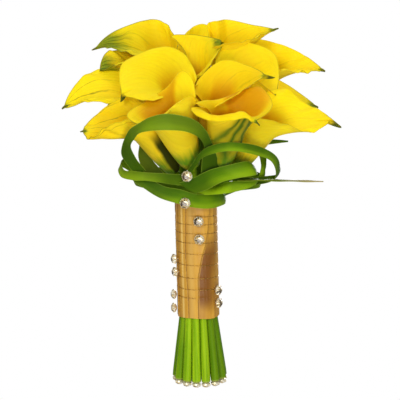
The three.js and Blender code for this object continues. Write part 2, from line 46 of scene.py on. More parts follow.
# Sizes that the part's source also holds
STEM_RADIUS = 3.6  # inside the handle
FOOT_RADIUS = 4.6  # at the cut end
FOOT_CROWDING = 0.085  # how far the feet crowd towards the front and the back, in radians
LEAN = -0.022  # sideways lean of the handle, mm per mm of height
HANDLE_BOTTOM = 69
HANDLE_TOP = 184
OUTER_RING = dict(stems=13, bound=15.7, foot=23.6, phase=-100)
INNER_RING = dict(stems=3, bound=5.2, foot=11.5, phase=-30)
GEM_HEIGHT = 5
TUBE_BASE_RADIUS = 5.3  # where a spathe clasps its stem
TUBE_FULLNESS = 0.5  # exponent of the funnel's widening
SPIRAL = (0.9, 1.3)  # how far the margins stand in and out, at the base and at the throat
SEAM = (0.3, -0.12)  # how far each margin passes the seam, at the throat and at the rim
RIB_LEAN = 0.4  # share by which a rib in the tube turns towards its place on the rim
ROUND = 8  # a place on the rim counts from 0 at the seam round to 8 there again
TIP = 4  # the tip's place on the rim
TAIL_WIDTH = 0.3  # half the width of the tail's root, on the same scale
SPADIX_RADIUS = 3.0
SPADIX_REACH = 0.8  # share of the tube's length

# Sizes of the finer pieces
BINDING_RADIUS = 19.9
SLEEVE_RADIUS = 20.75
WIRE_RADIUS = 0.24
LIMB_LEAVE = 0.36  # how far the limb goes on as the tube does, as a share of its reach
LIMB_ARRIVE = 0.62  # how far back from the rim it bends towards its crest
MARGIN_CURL = 1.4
STEM_RISE = 60  # mm up for a stem's distance from the axis, as it leaves the handle
PIN_STANDOFF = 21.7
PIN_DEPTH = 6.2
CLAWS = 6

# Each bloom's place in the handle, the ends of its tube, the way it winds, how high its limb arches along
# the rim, what its tail adds at the tip, and its rim from the seam round, with the tip as the middle point
BLOOMS = [
    dict(name="front_left", slot=0, base=(-8, -20, 223), throat=(-25, -60, 267), mouth=18, turn=1,
         lift=[0.1, 0.1, 0.05, 0.1, 0.3, 0.5, 0.5, 0.3], tail=(0, -1, -6),
         rim=[(-4, -66, 290), (-8, -54, 309), (-18, -46, 316), (-31, -40, 301), (-51, -38, 289),
              (-68, -64, 277), (-57, -84, 268), (-47, -91, 271), (-34, -89, 276), (-21, -85, 286),
              (-11, -80, 293), (-5, -74, 295)]),
    dict(name="front_right", slot=1, base=(19, -22, 221), throat=(26, -62, 265), mouth=18, turn=-1,
         lift=[0.1, 0.1, 0.1, 0.2, 0.6, 0.65, 0.55, 0.35], tail=(5, -1, -4),
         rim=[(-6, -80, 286), (4, -62, 289), (19, -50, 290), (38, -45, 297), (57, -48, 301), (67, -74, 286),
              (50, -112, 273), (40, -116, 276), (29, -116, 274), (15, -110, 273), (4, -104, 275),
              (-5, -94, 279)]),
    dict(name="low_left", slot=12, base=(-26, -14, 218), throat=(-50, -42, 256), mouth=13, turn=1,
         lift=[0, 0, 0, 0, 0.1, -0.2, -0.35, -0.2], tail=(-3, -1, -1),
         rim=[(-50, -50, 272), (-64, -28, 291), (-85, -30, 285), (-104, -46, 270), (-110, -60, 261),
              (-101, -70, 256), (-87, -74, 266), (-70, -68, 272)]),
    dict(name="low_right", slot=2, base=(34, -8, 218), throat=(56, -32, 257), mouth=15, turn=-1, lift=0.1,
         tail=(13, 3, -10),
         rim=[(42, -40, 275), (53, -24, 288), (69, -14, 296), (86, -12, 297), (99, -18, 286),
              (115, -31, 279), (124, -42, 271), (116, -50, 263), (102, -55, 260), (85, -60, 267),
              (68, -61, 271), (50, -53, 274)]),
    dict(name="centre_left", slot=15, base=(-8, 0, 234), throat=(-18, -8, 290), mouth=15, turn=1, lift=0.2,
         tail=(-1, -4, -11),
         rim=[(-4, -12, 304), (-6, 6, 315), (-16, 16, 331), (-34, 18, 338), (-57, 10, 333), (-77, -8, 321),
              (-75, -36, 296), (-63, -44, 291), (-49, -47, 290), (-37, -46, 292), (-26, -36, 297),
              (-13, -26, 300)]),
    dict(name="centre", slot=13, base=(6, -6, 233), throat=(16, -20, 277), mouth=14, turn=-1, lift=0.15,
         tail=(12, -2, -3),
         rim=[(-4, -30, 292), (0, -10, 308), (22, -4, 325), (45, -10, 321), (61, -34, 312), (44, -48, 303),
              (26, -58, 291), (8, -58, 282)]),
    dict(name="centre_right", slot=3, base=(12, 9, 237), throat=(37, 12, 290), mouth=13, turn=-1, lift=0.2,
         tail=(-1, -2, -4),
         rim=[(20, 4, 306), (17, 24, 331), (38, 33, 343), (74, 19, 331), (75, -14, 294), (65, -15, 300),
              (49, -2, 306), (33, -1, 307)]),
    dict(name="mid_left", slot=11, base=(-24, 8, 233), throat=(-50, 4, 282), mouth=13, turn=1, lift=0.2,
         tail=(-3, 0, -3),
         rim=[(-50, 1, 298), (-65, 25, 322), (-95, 29, 318), (-120, 16, 306), (-134, -4, 281),
              (-113, -14, 286), (-88, -22, 286), (-62, -22, 289)]),
    dict(name="upper_left", slot=10, base=(-17, 24, 242), throat=(-43, 34, 300), mouth=12, turn=1, lift=0.2,
         tail=(-1, -1, -2),
         rim=[(-38, 40, 320), (-53, 48, 330), (-78, 47, 334), (-95, 36, 332), (-100, 24, 316),
              (-86, 19, 320), (-68, 17, 323), (-50, 21, 323)]),
    dict(name="middle", slot=14, base=(4, 20, 242), throat=(-3, 30, 302), mouth=12, turn=-1, lift=0.2,
         tail=(0, -2, -5),
         rim=[(-9, 20, 319), (-14, 28, 330), (-21, 38, 341), (-28, 46, 349), (-16, 48, 350), (0, 46, 349),
              (22, 32, 344), (19, 25, 337), (15, 18, 330), (10, 12, 321), (3, 10, 314), (-4, 12, 309)]),
    dict(name="top_left", slot=8, base=(-7, 33, 252), throat=(-32, 57, 316), mouth=13, turn=1, lift=0.25,
         tail=(-5, -1, -3),
         rim=[(-25, 50, 334), (-24, 58, 344), (-33, 66, 359), (-46, 70, 365), (-66, 66, 362),
              (-92, 58, 351), (-106, 46, 337), (-95, 40, 339), (-83, 36, 336), (-68, 30, 331),
              (-50, 28, 328), (-34, 34, 328)]),
    dict(name="top_right", slot=6, base=(12, 37, 249), throat=(26, 48, 316), mouth=13, turn=-1, lift=0.2,
         tail=(5, 0, 1),
         rim=[(13, 38, 338), (8, 50, 348), (8, 56, 361), (17, 50, 363), (29, 62, 365), (53, 58, 360),
              (75, 44, 356), (65, 34, 353), (54, 28, 347), (41, 24, 344), (29, 20, 344), (19, 26, 341)]),
    dict(name="upper_right", slot=4, base=(20, 26, 242), throat=(56, 44, 298), mouth=14, turn=-1, lift=0.2,
         tail=(4, 0, -3),
         rim=[(52, 38, 322), (53, 58, 344), (79, 58, 341), (105, 46, 330), (123, 30, 316), (109, 21, 314),
              (90, 19, 316), (71, 27, 318)]),
    dict(name="back_top", slot=7, base=(0, 48, 250), throat=(-6, 68, 315), mouth=14, turn=1, lift=0.2,
         tail=(-2, 2, -3),
         rim=[(5, 61, 334), (17, 84, 350), (4, 92, 361), (-13, 84, 353), (-25, 74, 334), (-25, 58, 332),
              (-14, 52, 334), (-2, 50, 334)]),
    dict(name="back_left", slot=9, base=(-19, 35, 230), throat=(-40, 66, 272), mouth=14, turn=1, lift=0.2,
         tail=(-3, 2, -3),
         rim=[(-31, 56, 298), (-23, 86, 310), (-45, 100, 314), (-75, 104, 301), (-101, 96, 272),
              (-84, 68, 272), (-65, 54, 282), (-46, 48, 292)]),
    dict(name="back_right", slot=5, base=(24, 34, 230), throat=(40, 66, 274), mouth=14, turn=-1, lift=0.2,
         tail=(3, 1, -2),
         rim=[(30, 58, 298), (25, 86, 313), (49, 102, 316), (86, 100, 302), (122, 74, 276), (96, 62, 274),
              (70, 54, 286), (46, 48, 298)]),
]

# The lower and the upper edge of each leaf
LEAVES = {
    "arch_left": (
        [(1, -39, 218), (2, -51, 232), (4, -64, 246), (-2, -78, 256), (-13, -92, 262), (-29, -99, 264),
         (-46, -97, 263), (-56, -88, 260), (-61, -78, 254), (-65, -66, 246), (-61, -54, 234),
         (-52, -42, 220)],
        [(19, -38, 221), (16, -54, 236), (11, -67, 250), (5, -80, 263), (-7, -93, 274), (-29, -101, 279),
         (-45, -99, 276), (-57, -91, 269), (-66, -80, 262), (-73, -68, 247), (-74, -54, 235),
         (-66, -42, 221)]),
    "arch_right": (
        [(-11, -40, 215), (-3, -52, 227), (4, -64, 236), (21, -74, 242), (37, -74, 242), (55, -64, 237),
         (67, -50, 231), (73, -36, 220), (71, -22, 208), (55, -14, 203), (38, -10, 200)],
        [(-13, -40, 219), (-6, -54, 230), (3, -66, 243), (20, -74, 250), (39, -74, 250), (56, -66, 246),
         (71, -52, 237), (77, -36, 226), (77, -20, 215), (61, -12, 211), (38, -10, 208)]),
    "broad": (
        [(-4, -34, 197), (7, -41, 202), (21, -47, 210), (35, -50, 214), (50, -46, 216), (55, -38, 216),
         (49, -28, 214), (35, -18, 210)],
        [(-20, -36, 208), (-7, -41, 213), (10, -47, 222), (28, -51, 227), (44, -48, 230), (52, -38, 225),
         (49, -28, 223), (35, -18, 218)]),
    "band_left": (
        [(-8, -28, 204), (-24, -36, 206), (-38, -43, 209), (-52, -45, 211), (-64, -42, 211),
         (-76, -34, 213), (-80, -24, 219), (-76, -12, 220), (-63, -3, 211), (-42, 4, 202)],
        [(-8, -28, 214), (-21, -36, 216), (-38, -43, 218), (-52, -45, 219), (-65, -40, 220),
         (-73, -34, 220), (-77, -24, 226), (-74, -14, 229), (-63, -3, 222), (-42, 4, 212)]),
    "collar": (
        [(-68, -34, 212), (-56, -38, 204), (-39, -36, 193), (-21, -33, 187), (-3, -28, 182),
         (14, -20, 181), (25, -2, 183), (16, 18, 183), (-2, 25, 185)],
        [(-64, -32, 220), (-50, -38, 213), (-35, -38, 205), (-19, -34, 201), (-2, -30, 196),
         (14, -20, 196), (25, -2, 193), (16, 18, 196), (-2, 25, 197)]),
    "under": (
        [(-42, -29, 206), (-14, -26, 196), (7, -28, 195), (27, -37, 198), (44, -38, 202), (55, -30, 206),
         (47, -19, 204), (32, -12, 203)],
        [(-31, -29, 210), (-18, -26, 203), (10, -28, 202), (27, -37, 209), (44, -38, 210), (56, -30, 211),
         (47, -19, 211), (32, -12, 211)]),
    "blade": (
        [(36, -46, 211), (58, -47, 211), (84, -44, 210), (119, -40, 209)],
        [(36, -39, 211), (58, -40, 212), (84, -38, 211), (119, -39, 210)]),
    "left_inner": (
        [(-51, 2, 208), (-57, -4, 217), (-61, -8, 230), (-59.5, -14, 243)],
        [(-34, 2, 210), (-41, -4, 219), (-50, -8, 231), (-57.5, -14, 243)]),
    "right_small": (
        [(57, 0, 236), (60, -2, 226), (60, -6, 217), (54, -6, 207), (24.6, -6, 198)],
        [(66, 0, 234), (66, -2, 225), (65, -6, 218), (60, -6, 206), (24.9, -6, 191)]),
    "tip_behind": (
        [(20.4, 14.2, 193.6), (33, 17, 207), (39, 19, 225), (50, 19, 237), (70, 18, 240), (89, 18, 242.5)],
        [(21, 15, 203), (26, 17, 212), (31, 19, 229), (45, 20, 243), (72, 19, 245), (89, 18, 244)]),
    "back_left": (
        [(-10, 24, 197), (-28, 44, 200), (-46, 54, 202), (-62, 48, 200), (-66, 34, 197), (-56, 22, 195),
         (-40, 16, 195)],
        [(-10, 24, 208), (-28, 46, 211), (-48, 56, 213), (-65, 48, 211), (-69, 34, 207), (-56, 22, 205),
         (-40, 16, 205)]),
    "back_right": (
        [(10, 22.6, 195), (30, 46, 199), (48, 54, 199), (61, 44, 197), (60, 26, 195), (46, 16, 194),
         (30, 12, 193)],
        [(10, 22.6, 206), (30, 48, 210), (50, 56, 210), (64, 44, 207), (63, 26, 204), (46, 16, 203),
         (30, 12, 202)]),
}

# How each bloom is coloured: its dark veins, its warmth, partly its own golden tone and partly painted
# shade, how far the throat's orange, a painted shade, climbs to the rim, how far the green spreads from the
# tip in mm, and how strongly its midrib is striped with green outside
TONES = {
    "front_left": (0.15, 0.35, 1.1, 3, 0.1), "front_right": (0.15, 0.5, 1.5, 2.5, 1.0),
    "low_left": (0.85, 0.6, 0.5, 5, 0.3), "low_right": (0.2, 0.15, 0.35, 2, 0.2),
    "centre_left": (0.05, 0.1, 0.35, 1.5, 0.1), "centre": (0.25, 0.65, 0.55, 4, 0.2),
    "centre_right": (0.2, 0.2, 0.5, 3, 0.2), "mid_left": (1.0, 0.1, 0.2, 5, 0.5),
    "upper_left": (0.9, 0.9, 0.3, 22, 0.6), "middle": (0.15, 0.2, 0.3, 13, 0.4),
    "top_left": (0.9, 0.25, 0.3, 42, 0.5), "top_right": (0.4, 0.3, 0.4, 8, 0.3),
    "upper_right": (0.3, 0.2, 0.35, 5, 0.3), "back_top": (0.1, 0.0, 0.0, 3, 0.1),
    "back_left": (0.5, 0.3, 0.4, 12, 0.5), "back_right": (0.5, 0.3, 0.4, 12, 0.5),
}

# How far the margins of the blooms ruffle, in mm
RUFFLE = 0.3
RUFFLES = {"upper_right": 1.3, "low_left": 1.1, "low_right": 0.7, "top_left": 0.8, "upper_left": 1.0,
           "mid_left": 0.7, "front_left": 0.1, "top_right": 0.6}

# How far the front lip of a bloom rolls up before its margin, in mm
LIP_ROLLS = {"front_right": 4.6, "front_left": 3.5}

# How dark the overlapping margins are low down outside: their own darker colour, and on low_left also
# painted shade in the gap beside front_left
SEAM_STAIN_AND_SHADE = 0.15
SEAM_STAINS_AND_SHADES = {"low_left": 1.0}

# Leaves that are olive rather than green, and those that are dry: how much so at the start and at the end
OLIVE = {"left_inner": 0.9, "blade": 0.7, "back_left": 0.3}
DRY = {"blade": (0.0, 1.0), "right_small": (0.35, 0.1)}

# How light a green the leaves are
LEAF_LIGHT = 0.35
LEAF_LIGHTS = {"arch_left": 0.5, "arch_right": 0.2, "broad": 0.05, "band_left": 0.8, "collar": 0.0,
               "under": 1.0, "right_small": 1.0, "tip_behind": 0.1}

# How much painted shade darkens each stem's green
STEM_PAINTED_SHADE = 0.2
STEM_PAINTED_SHADES = {"front_left": 0.0, "front_right": 0.25, "low_left": 0.15, "low_right": 0.9,
               "mid_left": 0.6, "centre_right": 0.95, "upper_right": 0.9, "upper_left": 0.8,
               "centre": 0.9, "middle": 0.8, "centre_left": 0.8}

# Pins in the handle, by height and by angle round it, and pins through the leaf bands, by the place of
# their cups' backs and the length of their shafts
HANDLE_PINS = [(168, -85), (150, -84), (128, -157), (115, -154), (91, -168), (77, -170), (97, -34),
               (84, -33), (147.5, 70), (129, 74)]
HANDLE_SHAFT = 3.6
LEAF_PINS = [((-12.5, -41, 215), 10), ((-14.5, -33.6, 188), 8)]

# How the stones are cut, and how bright the painted flash on their tables is
HANDLE_STONE = dict(radius=4.7, crown=2.7, pavilion=2.8, painted_flash=0.36)
LEAF_STONE = dict(radius=4.9, crown=2.7, pavilion=2.8, painted_flash=0.33)
FOOT_STONE = dict(radius=4.3, crown=2.4, pavilion=2.9, painted_flash=0.9)

# Heights at which the gold wire passes the front, from the top turn down
WIRE_FRONTS = [172.0, 164.0, 155.0, 145.5, 134.5, 123.0, 110.0, 98.5, 90.0]

# The ribbon's pleats, by their angles round the handle in degrees. The front one swings across as it falls.
PLEATS = [-158, -121, None, -36, 8, 52, 96, 141, 176]
PLEAT_HEIGHTS = [69, 88, 111, 131, 143, 160, 184]
FRONT_PLEAT = [-90, -90, -89, -78, -67, -57, -50]

# Where a shine is painted on the satin: the angle of each painted highlight streak, its width in degrees and
# its strength
PAINTED_SHINES = [(-134, 3.5, 1.0), (-107, 9.0, 0.35), (24, 5.0, 1.0), (68, 4.0, 1.0), (120, 6.0, 1.0),
          (158, 4.0, 1.0)]

# The camera and the light, in metres, degrees and watts
CAMERA_TARGET = (0, 0, 0.186)
CAMERA_DISTANCE = 1.2
CAMERA_ELEVATION = 8
CAMERA_LENS = 108
CAMERA_SENSOR = 36
WORLD_LIGHT = 0.45
LAMP_TARGET = (0, 0, 0.22)


def unit(v):
    return v / np.maximum(np.linalg.norm(v, axis=-1, keepdims=True), 1e-9)


def smoothstep(low, high, x):
    t = np.clip((x - low) / (high - low), 0, 1)
    return t * t * (3 - 2 * t)


def catmull(points, places, closed=False):
    """Places on the smooth curve through the points, from 0 to len - 1, or to ROUND where it is closed."""
    p = np.asarray(points, float)
    s = np.asarray(places, float)
    n = len(p)
    if closed:
        s = s * n / ROUND % n
        i = np.floor(s).astype(int)
        p0, p1, p2, p3 = (p[(i + k) % n] for k in (-1, 0, 1, 2))
    else:
        i = np.clip(np.floor(s).astype(int), 0, n - 2)
        p = np.concatenate([[2 * p[0] - p[1]], p, [2 * p[-1] - p[-2]]])
        p0, p1, p2, p3 = (p[i + k] for k in range(4))
    f = (s - i)[..., None]
    return 0.5 * (2 * p1 + (p2 - p0) * f + (2 * p0 - 5 * p1 + 4 * p2 - p3) * f ** 2
                  + (3 * p1 - p0 - 3 * p2 + p3) * f ** 3)


def bezier(start, leave, arrive, end, q):
    p = 1 - q
    return p ** 3 * start + 3 * p ** 2 * q * leave + 3 * p * q ** 2 * arrive + q ** 3 * end


def run_lengths(path):
    """How far along a path each of its points lies."""
    return np.concatenate([[0], np.cumsum(np.linalg.norm(np.diff(path, axis=0), axis=1))])


def around_handle(angle, radius, z):
    """Points round the leaning handle, at an angle in radians."""
    return np.stack([LEAN * z + radius * np.cos(angle), radius * np.sin(angle), z], -1)


def mesh_piece(name, node, corners, faces, uvs, materials, smooth=35, face_materials=None):
    """A piece on the one body, in place of its CAD node, with a mesh in metres from corners in mm.

    uvs maps a layer's name to one pair for each corner.
    """
    mesh = bpy.data.meshes.new(name)
    corners = np.asarray(corners, float) * MM
    mesh.from_pydata(corners.tolist(), [], [tuple(int(k) for k in f) for f in faces])
    loops = np.zeros(len(mesh.loops), int)
    mesh.loops.foreach_get("vertex_index", loops)
    for layer, pairs in uvs.items():
        mesh.uv_layers.new(name=layer).data.foreach_set("uv", pairs[loops].ravel())
    for material in materials:
        mesh.materials.append(material)
    if face_materials is not None:
        mesh.polygons.foreach_set("material_index", face_materials)
    mesh.shade_smooth()
    if smooth < 180:
        mesh.set_sharp_from_angle(angle=math.radians(smooth))
    mesh.update()
    piece = bpy.data.objects.new(name, mesh)
    bpy.context.scene.collection.objects.link(piece)
    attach(piece, "root")
    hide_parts(node)
    return piece


def grid_normals(grid, wrap=False):
    """Unit normals of a grid of points, across its columns and then up its rows."""
    if wrap:
        along = np.roll(grid, -1, 0) - np.roll(grid, 1, 0)
    else:
        along = np.gradient(grid, axis=0)
    return unit(np.cross(along, np.gradient(grid, axis=1)))


def grid_pairs(grid, u, v):
    """One (u, v) pair for each point of a grid."""
    return np.stack(np.broadcast_arrays(u, v, grid[..., 0])[:2], -1).reshape(-1, 2)


def shell(name, node, grid, thickness, uvs, material, back_uvs=None, wrap=False):
    """A thin closed sheet about a grid.

    uvs maps a layer's name to its u and v over the grid, and back_uvs holds those that differ on the back.
    """
    columns, rows = grid.shape[:2]
    count = columns * rows
    out = grid_normals(grid, wrap) * (np.broadcast_to(thickness, (columns, rows)) / 2)[..., None]
    corners = np.concatenate([(grid + out).reshape(-1, 3), (grid - out).reshape(-1, 3)])
    index = np.arange(count).reshape(columns, rows)
    ring = np.concatenate([index, index[:1]]) if wrap else index
    front = np.stack([ring[:-1, :-1], ring[1:, :-1], ring[1:, 1:], ring[:-1, 1:]], -1).reshape(-1, 4)
    edges = [(ring[:-1, 0], ring[1:, 0]), (ring[1:, -1], ring[:-1, -1])]
    if not wrap:
        edges += [(index[-1, :-1], index[-1, 1:]), (index[0, 1:], index[0, :-1])]
    start, end = np.concatenate(edges, axis=1)
    band = np.stack([end, start, start + count, end + count], -1)
    faces = np.concatenate([front, front[:, ::-1] + count, band])
    backs = {**uvs, **(back_uvs or {})}
    layers = {key: np.concatenate([grid_pairs(grid, *uvs[key]), grid_pairs(grid, *backs[key])])
              for key in uvs}
    return mesh_piece(name, node, corners, faces, layers, [material], smooth=60)


def frames_along(path):
    """Two unit vectors square to a path at each of its points, carried along without a twist."""
    ahead = unit(np.gradient(path, axis=0))
    across = np.zeros_like(path)
    across[0] = unit(np.cross(ahead[0], (0.3, 1, 0.1)))
    for k in range(1, len(path)):
        across[k] = unit(across[k - 1] - ahead[k] * across[k - 1].dot(ahead[k]))
    return across, np.cross(ahead, across)


def rod(path, radii, sides):
    """Corners, faces and (around, along) pairs of a closed rod with a cap at each end."""
    path = np.asarray(path, float)
    across, third = frames_along(path)
    angle = 2 * math.pi * np.arange(sides) / sides
    radii = np.broadcast_to(np.asarray(radii, float).reshape(len(path), -1), (len(path), sides))
    rings = (path[:, None] + across[:, None] * (np.cos(angle) * radii)[..., None]
             + third[:, None] * (np.sin(angle) * radii)[..., None])
    length = run_lengths(path)
    pairs = np.stack(np.broadcast_arrays(np.arange(sides) / sides, length[:, None]), -1)
    corners = np.concatenate([rings.reshape(-1, 3), path[:1], path[-1:]])
    pairs = np.concatenate([pairs.reshape(-1, 2), [[0.5, length[0]]], [[0.5, length[-1]]]])
    faces = []
    for k in range(len(path) - 1):
        for i in range(sides):
            a, b = k * sides + i, k * sides + (i + 1) % sides
            faces.append((a, b, b + sides, a + sides))
    first, last = len(corners) - 2, len(corners) - 1
    top = (len(path) - 1) * sides
    for i in range(sides):
        faces.append((first, (i + 1) % sides, i))
        faces.append((last, top + i, top + (i + 1) % sides))
    return corners, faces, pairs


def operation(kind, swapped=False):
    def apply(value, *others):
        return value.graph.math(kind, *((*others, value) if swapped else (value, *others)))
    return apply


class Value:
    """What a node gives at each point of a surface. It takes part in sums as a plain number does."""

    def __init__(self, graph, socket):
        self.graph = graph
        self.socket = socket

    __add__ = operation("ADD")
    __sub__ = operation("SUBTRACT")
    __rsub__ = operation("SUBTRACT", swapped=True)
    __mul__ = operation("MULTIPLY")
    __truediv__ = operation("DIVIDE")
    __abs__ = operation("ABSOLUTE")

    def step(self, low, high):
        """0 below low and 1 above high, smooth between. A larger low turns it the other way round."""
        bottom, top = (0.0, 1.0) if low < high else (1.0, 0.0)
        inputs = {0: self, 1: min(low, high), 2: max(low, high), 3: bottom, 4: top}
        return self.graph.node("ShaderNodeMapRange", inputs, interpolation_type="SMOOTHSTEP")


class Graph:
    """A material's nodes, built from the inputs up."""

    def __init__(self, name):
        self.material = bpy.data.materials.new(name)
        self.material.use_nodes = True
        self.tree = self.material.node_tree
        self.shader = self.tree.nodes["Principled BSDF"]

    def node(self, kind, inputs=(), output=0, **settings):
        made = self.tree.nodes.new(kind)
        for key, value in settings.items():
            setattr(made, key, value)
        for key, value in dict(inputs).items():
            self.feed(made.inputs[key], value)
        return Value(self, made.outputs[output])

    def feed(self, socket, value):
        if isinstance(value, Value):
            self.tree.links.new(value.socket, socket)
        elif isinstance(value, tuple) and socket.type == "RGBA":
            socket.default_value = (*value, 1)
        else:
            socket.default_value = value

    def finish(self, **inputs):
        """The material, once its shader is fed."""
        for key, value in inputs.items():
            self.feed(self.shader.inputs[key.replace("_", " ")], value)
        return self.material

    def uv(self, layer):
        place = self.node("ShaderNodeUVMap", uv_map=layer)
        split = self.node("ShaderNodeSeparateXYZ", {0: place}).socket.node
        return Value(self, split.outputs[0]), Value(self, split.outputs[1])

    def math(self, operation, *values):
        return self.node("ShaderNodeMath", enumerate(values), operation=operation)

    def sine(self, x):
        return self.math("SINE", x)

    def mix(self, share, a, b, label=""):
        return self.node("ShaderNodeMix", {0: share, 6: a, 7: b}, 2, data_type="RGBA", label=label)

    def paint(self, colour, layers):
        """Lays colours over a colour. layers maps a label to how much of a colour shows, and the colour."""
        for label, (share, over) in layers.items():
            colour = self.mix(share, colour, over, label)
        return colour

    def vector(self, x, y):
        return self.node("ShaderNodeCombineXYZ", {0: x, 1: y})

    def noise(self, place, scale, detail=2.0, roughness=0.5):
        inputs = {"Vector": place, "Scale": scale, "Detail": detail, "Roughness": roughness}
        return self.node("ShaderNodeTexNoise", inputs)

    def grain(self, across, along, detail=3.0, roughness=0.5):
        """Noise over a surface's own two directions."""
        return self.noise(self.vector(across, along), 1.0, detail, roughness)

    def position(self):
        return self.node("ShaderNodeTexCoord", output="Object")

    def bump(self, height, distance, strength, normal=None):
        inputs = {"Height": height, "Distance": distance, "Strength": strength}
        if normal is not None:
            inputs["Normal"] = normal
        return self.node("ShaderNodeBump", inputs)


def petal_material():
    g = Graph("petal")
    across, along = g.uv("grain")
    rib, height = g.uv("place")
    outer, throat_shade_reach = g.uv("side")
    veins, warmth = g.uv("tone")
    from_rim, from_tip = g.uv("edge")
    green_reach, midrib_green = g.uv("green")
    tail, seam_stain_and_shade = g.uv("tail")
    here = g.position()
    blotch = g.noise(here, 42.0, 3.0)
    cloud = g.noise(here, 16.0)
    fine = g.grain(across * 30.0, along * 3.0)
    wander = g.grain(across * 5.0, along * 4.0)

    def stripes(count, sway, width):
        """Lines that run up the blade and wander."""
        return abs(g.sine(across * count + wander * sway)).step(width, 0.0)

    ribs = stripes(40.0, 2.0, 1.0)
    vein = stripes(8.5, 3.5, 0.2) * veins * from_tip.step(72.0, 22.0)
    inside = 1.0 - outer
    off_tip = abs(rib - 0.5)
    # The throat's orange is painted shade: it climbs from the throat towards the rim, less near the tip and
    # the seam
    open_throat = (1.0 - off_tip.step(0.16, 0.03) * 0.7 - off_tip.step(0.29, 0.37) * 0.88
                   - rib.step(0.52, 0.62) * 0.45)
    deep = height - throat_shade_reach * open_throat * 0.42
    reach = from_tip / green_reach + (wander - 0.5) * 0.8
    green = reach.step(1.05, 0.4)
    midrib = abs(across).step(0.58, 0.26) * midrib_green * outer * (stripes(15.0, 3.0, 1.2) * 0.42 + 0.62)
    margin = from_rim.step(1.1, 0.35) * (reach.step(7.0, 1.0) * 0.6 + 0.3)
    foot = (height + (fine - 0.5) * 0.16).step(0.34, 0.16) * outer
    crumple = blotch.step(0.52, 0.72) * height.step(0.55, 0.2) * outer
    # The dark seam low down outside: partly the margins' own darker colour, and where it is strong painted
    # shade between blooms
    seam = (off_tip + (blotch - 0.5) * 0.05).step(0.34, 0.385) * height.step(0.66, 0.4) * outer

    # Warmth turns a bloom's yellow towards orange: partly the bloom's own golden tone, partly painted shade
    yellow_inside = g.mix(warmth, (0.95, 0.715, 0.007), (0.9, 0.58, 0.005))
    yellow_outside = g.mix(warmth, (0.93, 0.715, 0.018), (0.88, 0.59, 0.011))
    colour = g.paint(g.mix(outer, yellow_inside, yellow_outside), {
        "clouds": (cloud.step(0.42, 0.68) * 0.4, (0.9, 0.56, 0.004)),
        "blotches": (blotch.step(0.45, 0.8) * 0.25, (0.87, 0.52, 0.005)),
        "ribs": (ribs * 0.1, (0.76, 0.44, 0.004)),
        "thin veins": (stripes(26.0, 4.0, 0.3) * 0.09, (0.64, 0.43, 0.004)),
        # Painted shade: orange that deepens into the throat
        "throat": (deep.step(0.62, 0.42) * (inside * 0.85), (0.78, 0.41, 0.001)),
        "deep throat": (deep.step(0.5, 0.28) * (inside * 0.8), (0.63, 0.28, 0.001)),
        "bold veins": (vein * 0.85, (0.19, 0.205, 0.006)),
        "tinge": (reach.step(2.2, 0.5) * 0.45, (0.56, 0.56, 0.012)),
        "green tip": (green * 0.9, (0.145, 0.225, 0.008)),
        "dark veins": (stripes(17.0, 3.0, 0.6) * green * 0.85, (0.04, 0.075, 0.004)),
        "midrib": (midrib * 0.95, (0.06, 0.13, 0.004)),
        "margin": (margin, (0.23, 0.21, 0.008)),
        "dry tail": (tail.step(0.15, 0.5), (0.07, 0.095, 0.008)),
        "green foot": (foot, (0.12, 0.26, 0.008)),
        "streaked foot": (height.step(0.34, 0.1) * ribs * outer * 0.35, (0.32, 0.39, 0.01)),
        "crumple": (crumple * 0.35, (0.6, 0.31, 0.006)),
        # Seam stain, partly painted shade
        "seam stain": (seam * seam_stain_and_shade, (0.03, 0.034, 0.002)),
    })
    normal = g.bump(ribs * 0.5 + fine * 0.5 + vein * -0.8, 0.0004, 0.4)
    normal = g.bump(blotch, 0.0024, 0.45, normal)
    normal = g.bump(g.noise(here, 1400.0), 0.00005, 0.3, normal)
    return g.finish(Base_Color=colour, Normal=normal, Roughness=0.55, Specular_IOR_Level=0.06,
                    Subsurface_Weight=0.3, Subsurface_Radius=(1.0, 0.68, 0.05), Subsurface_Scale=0.003)


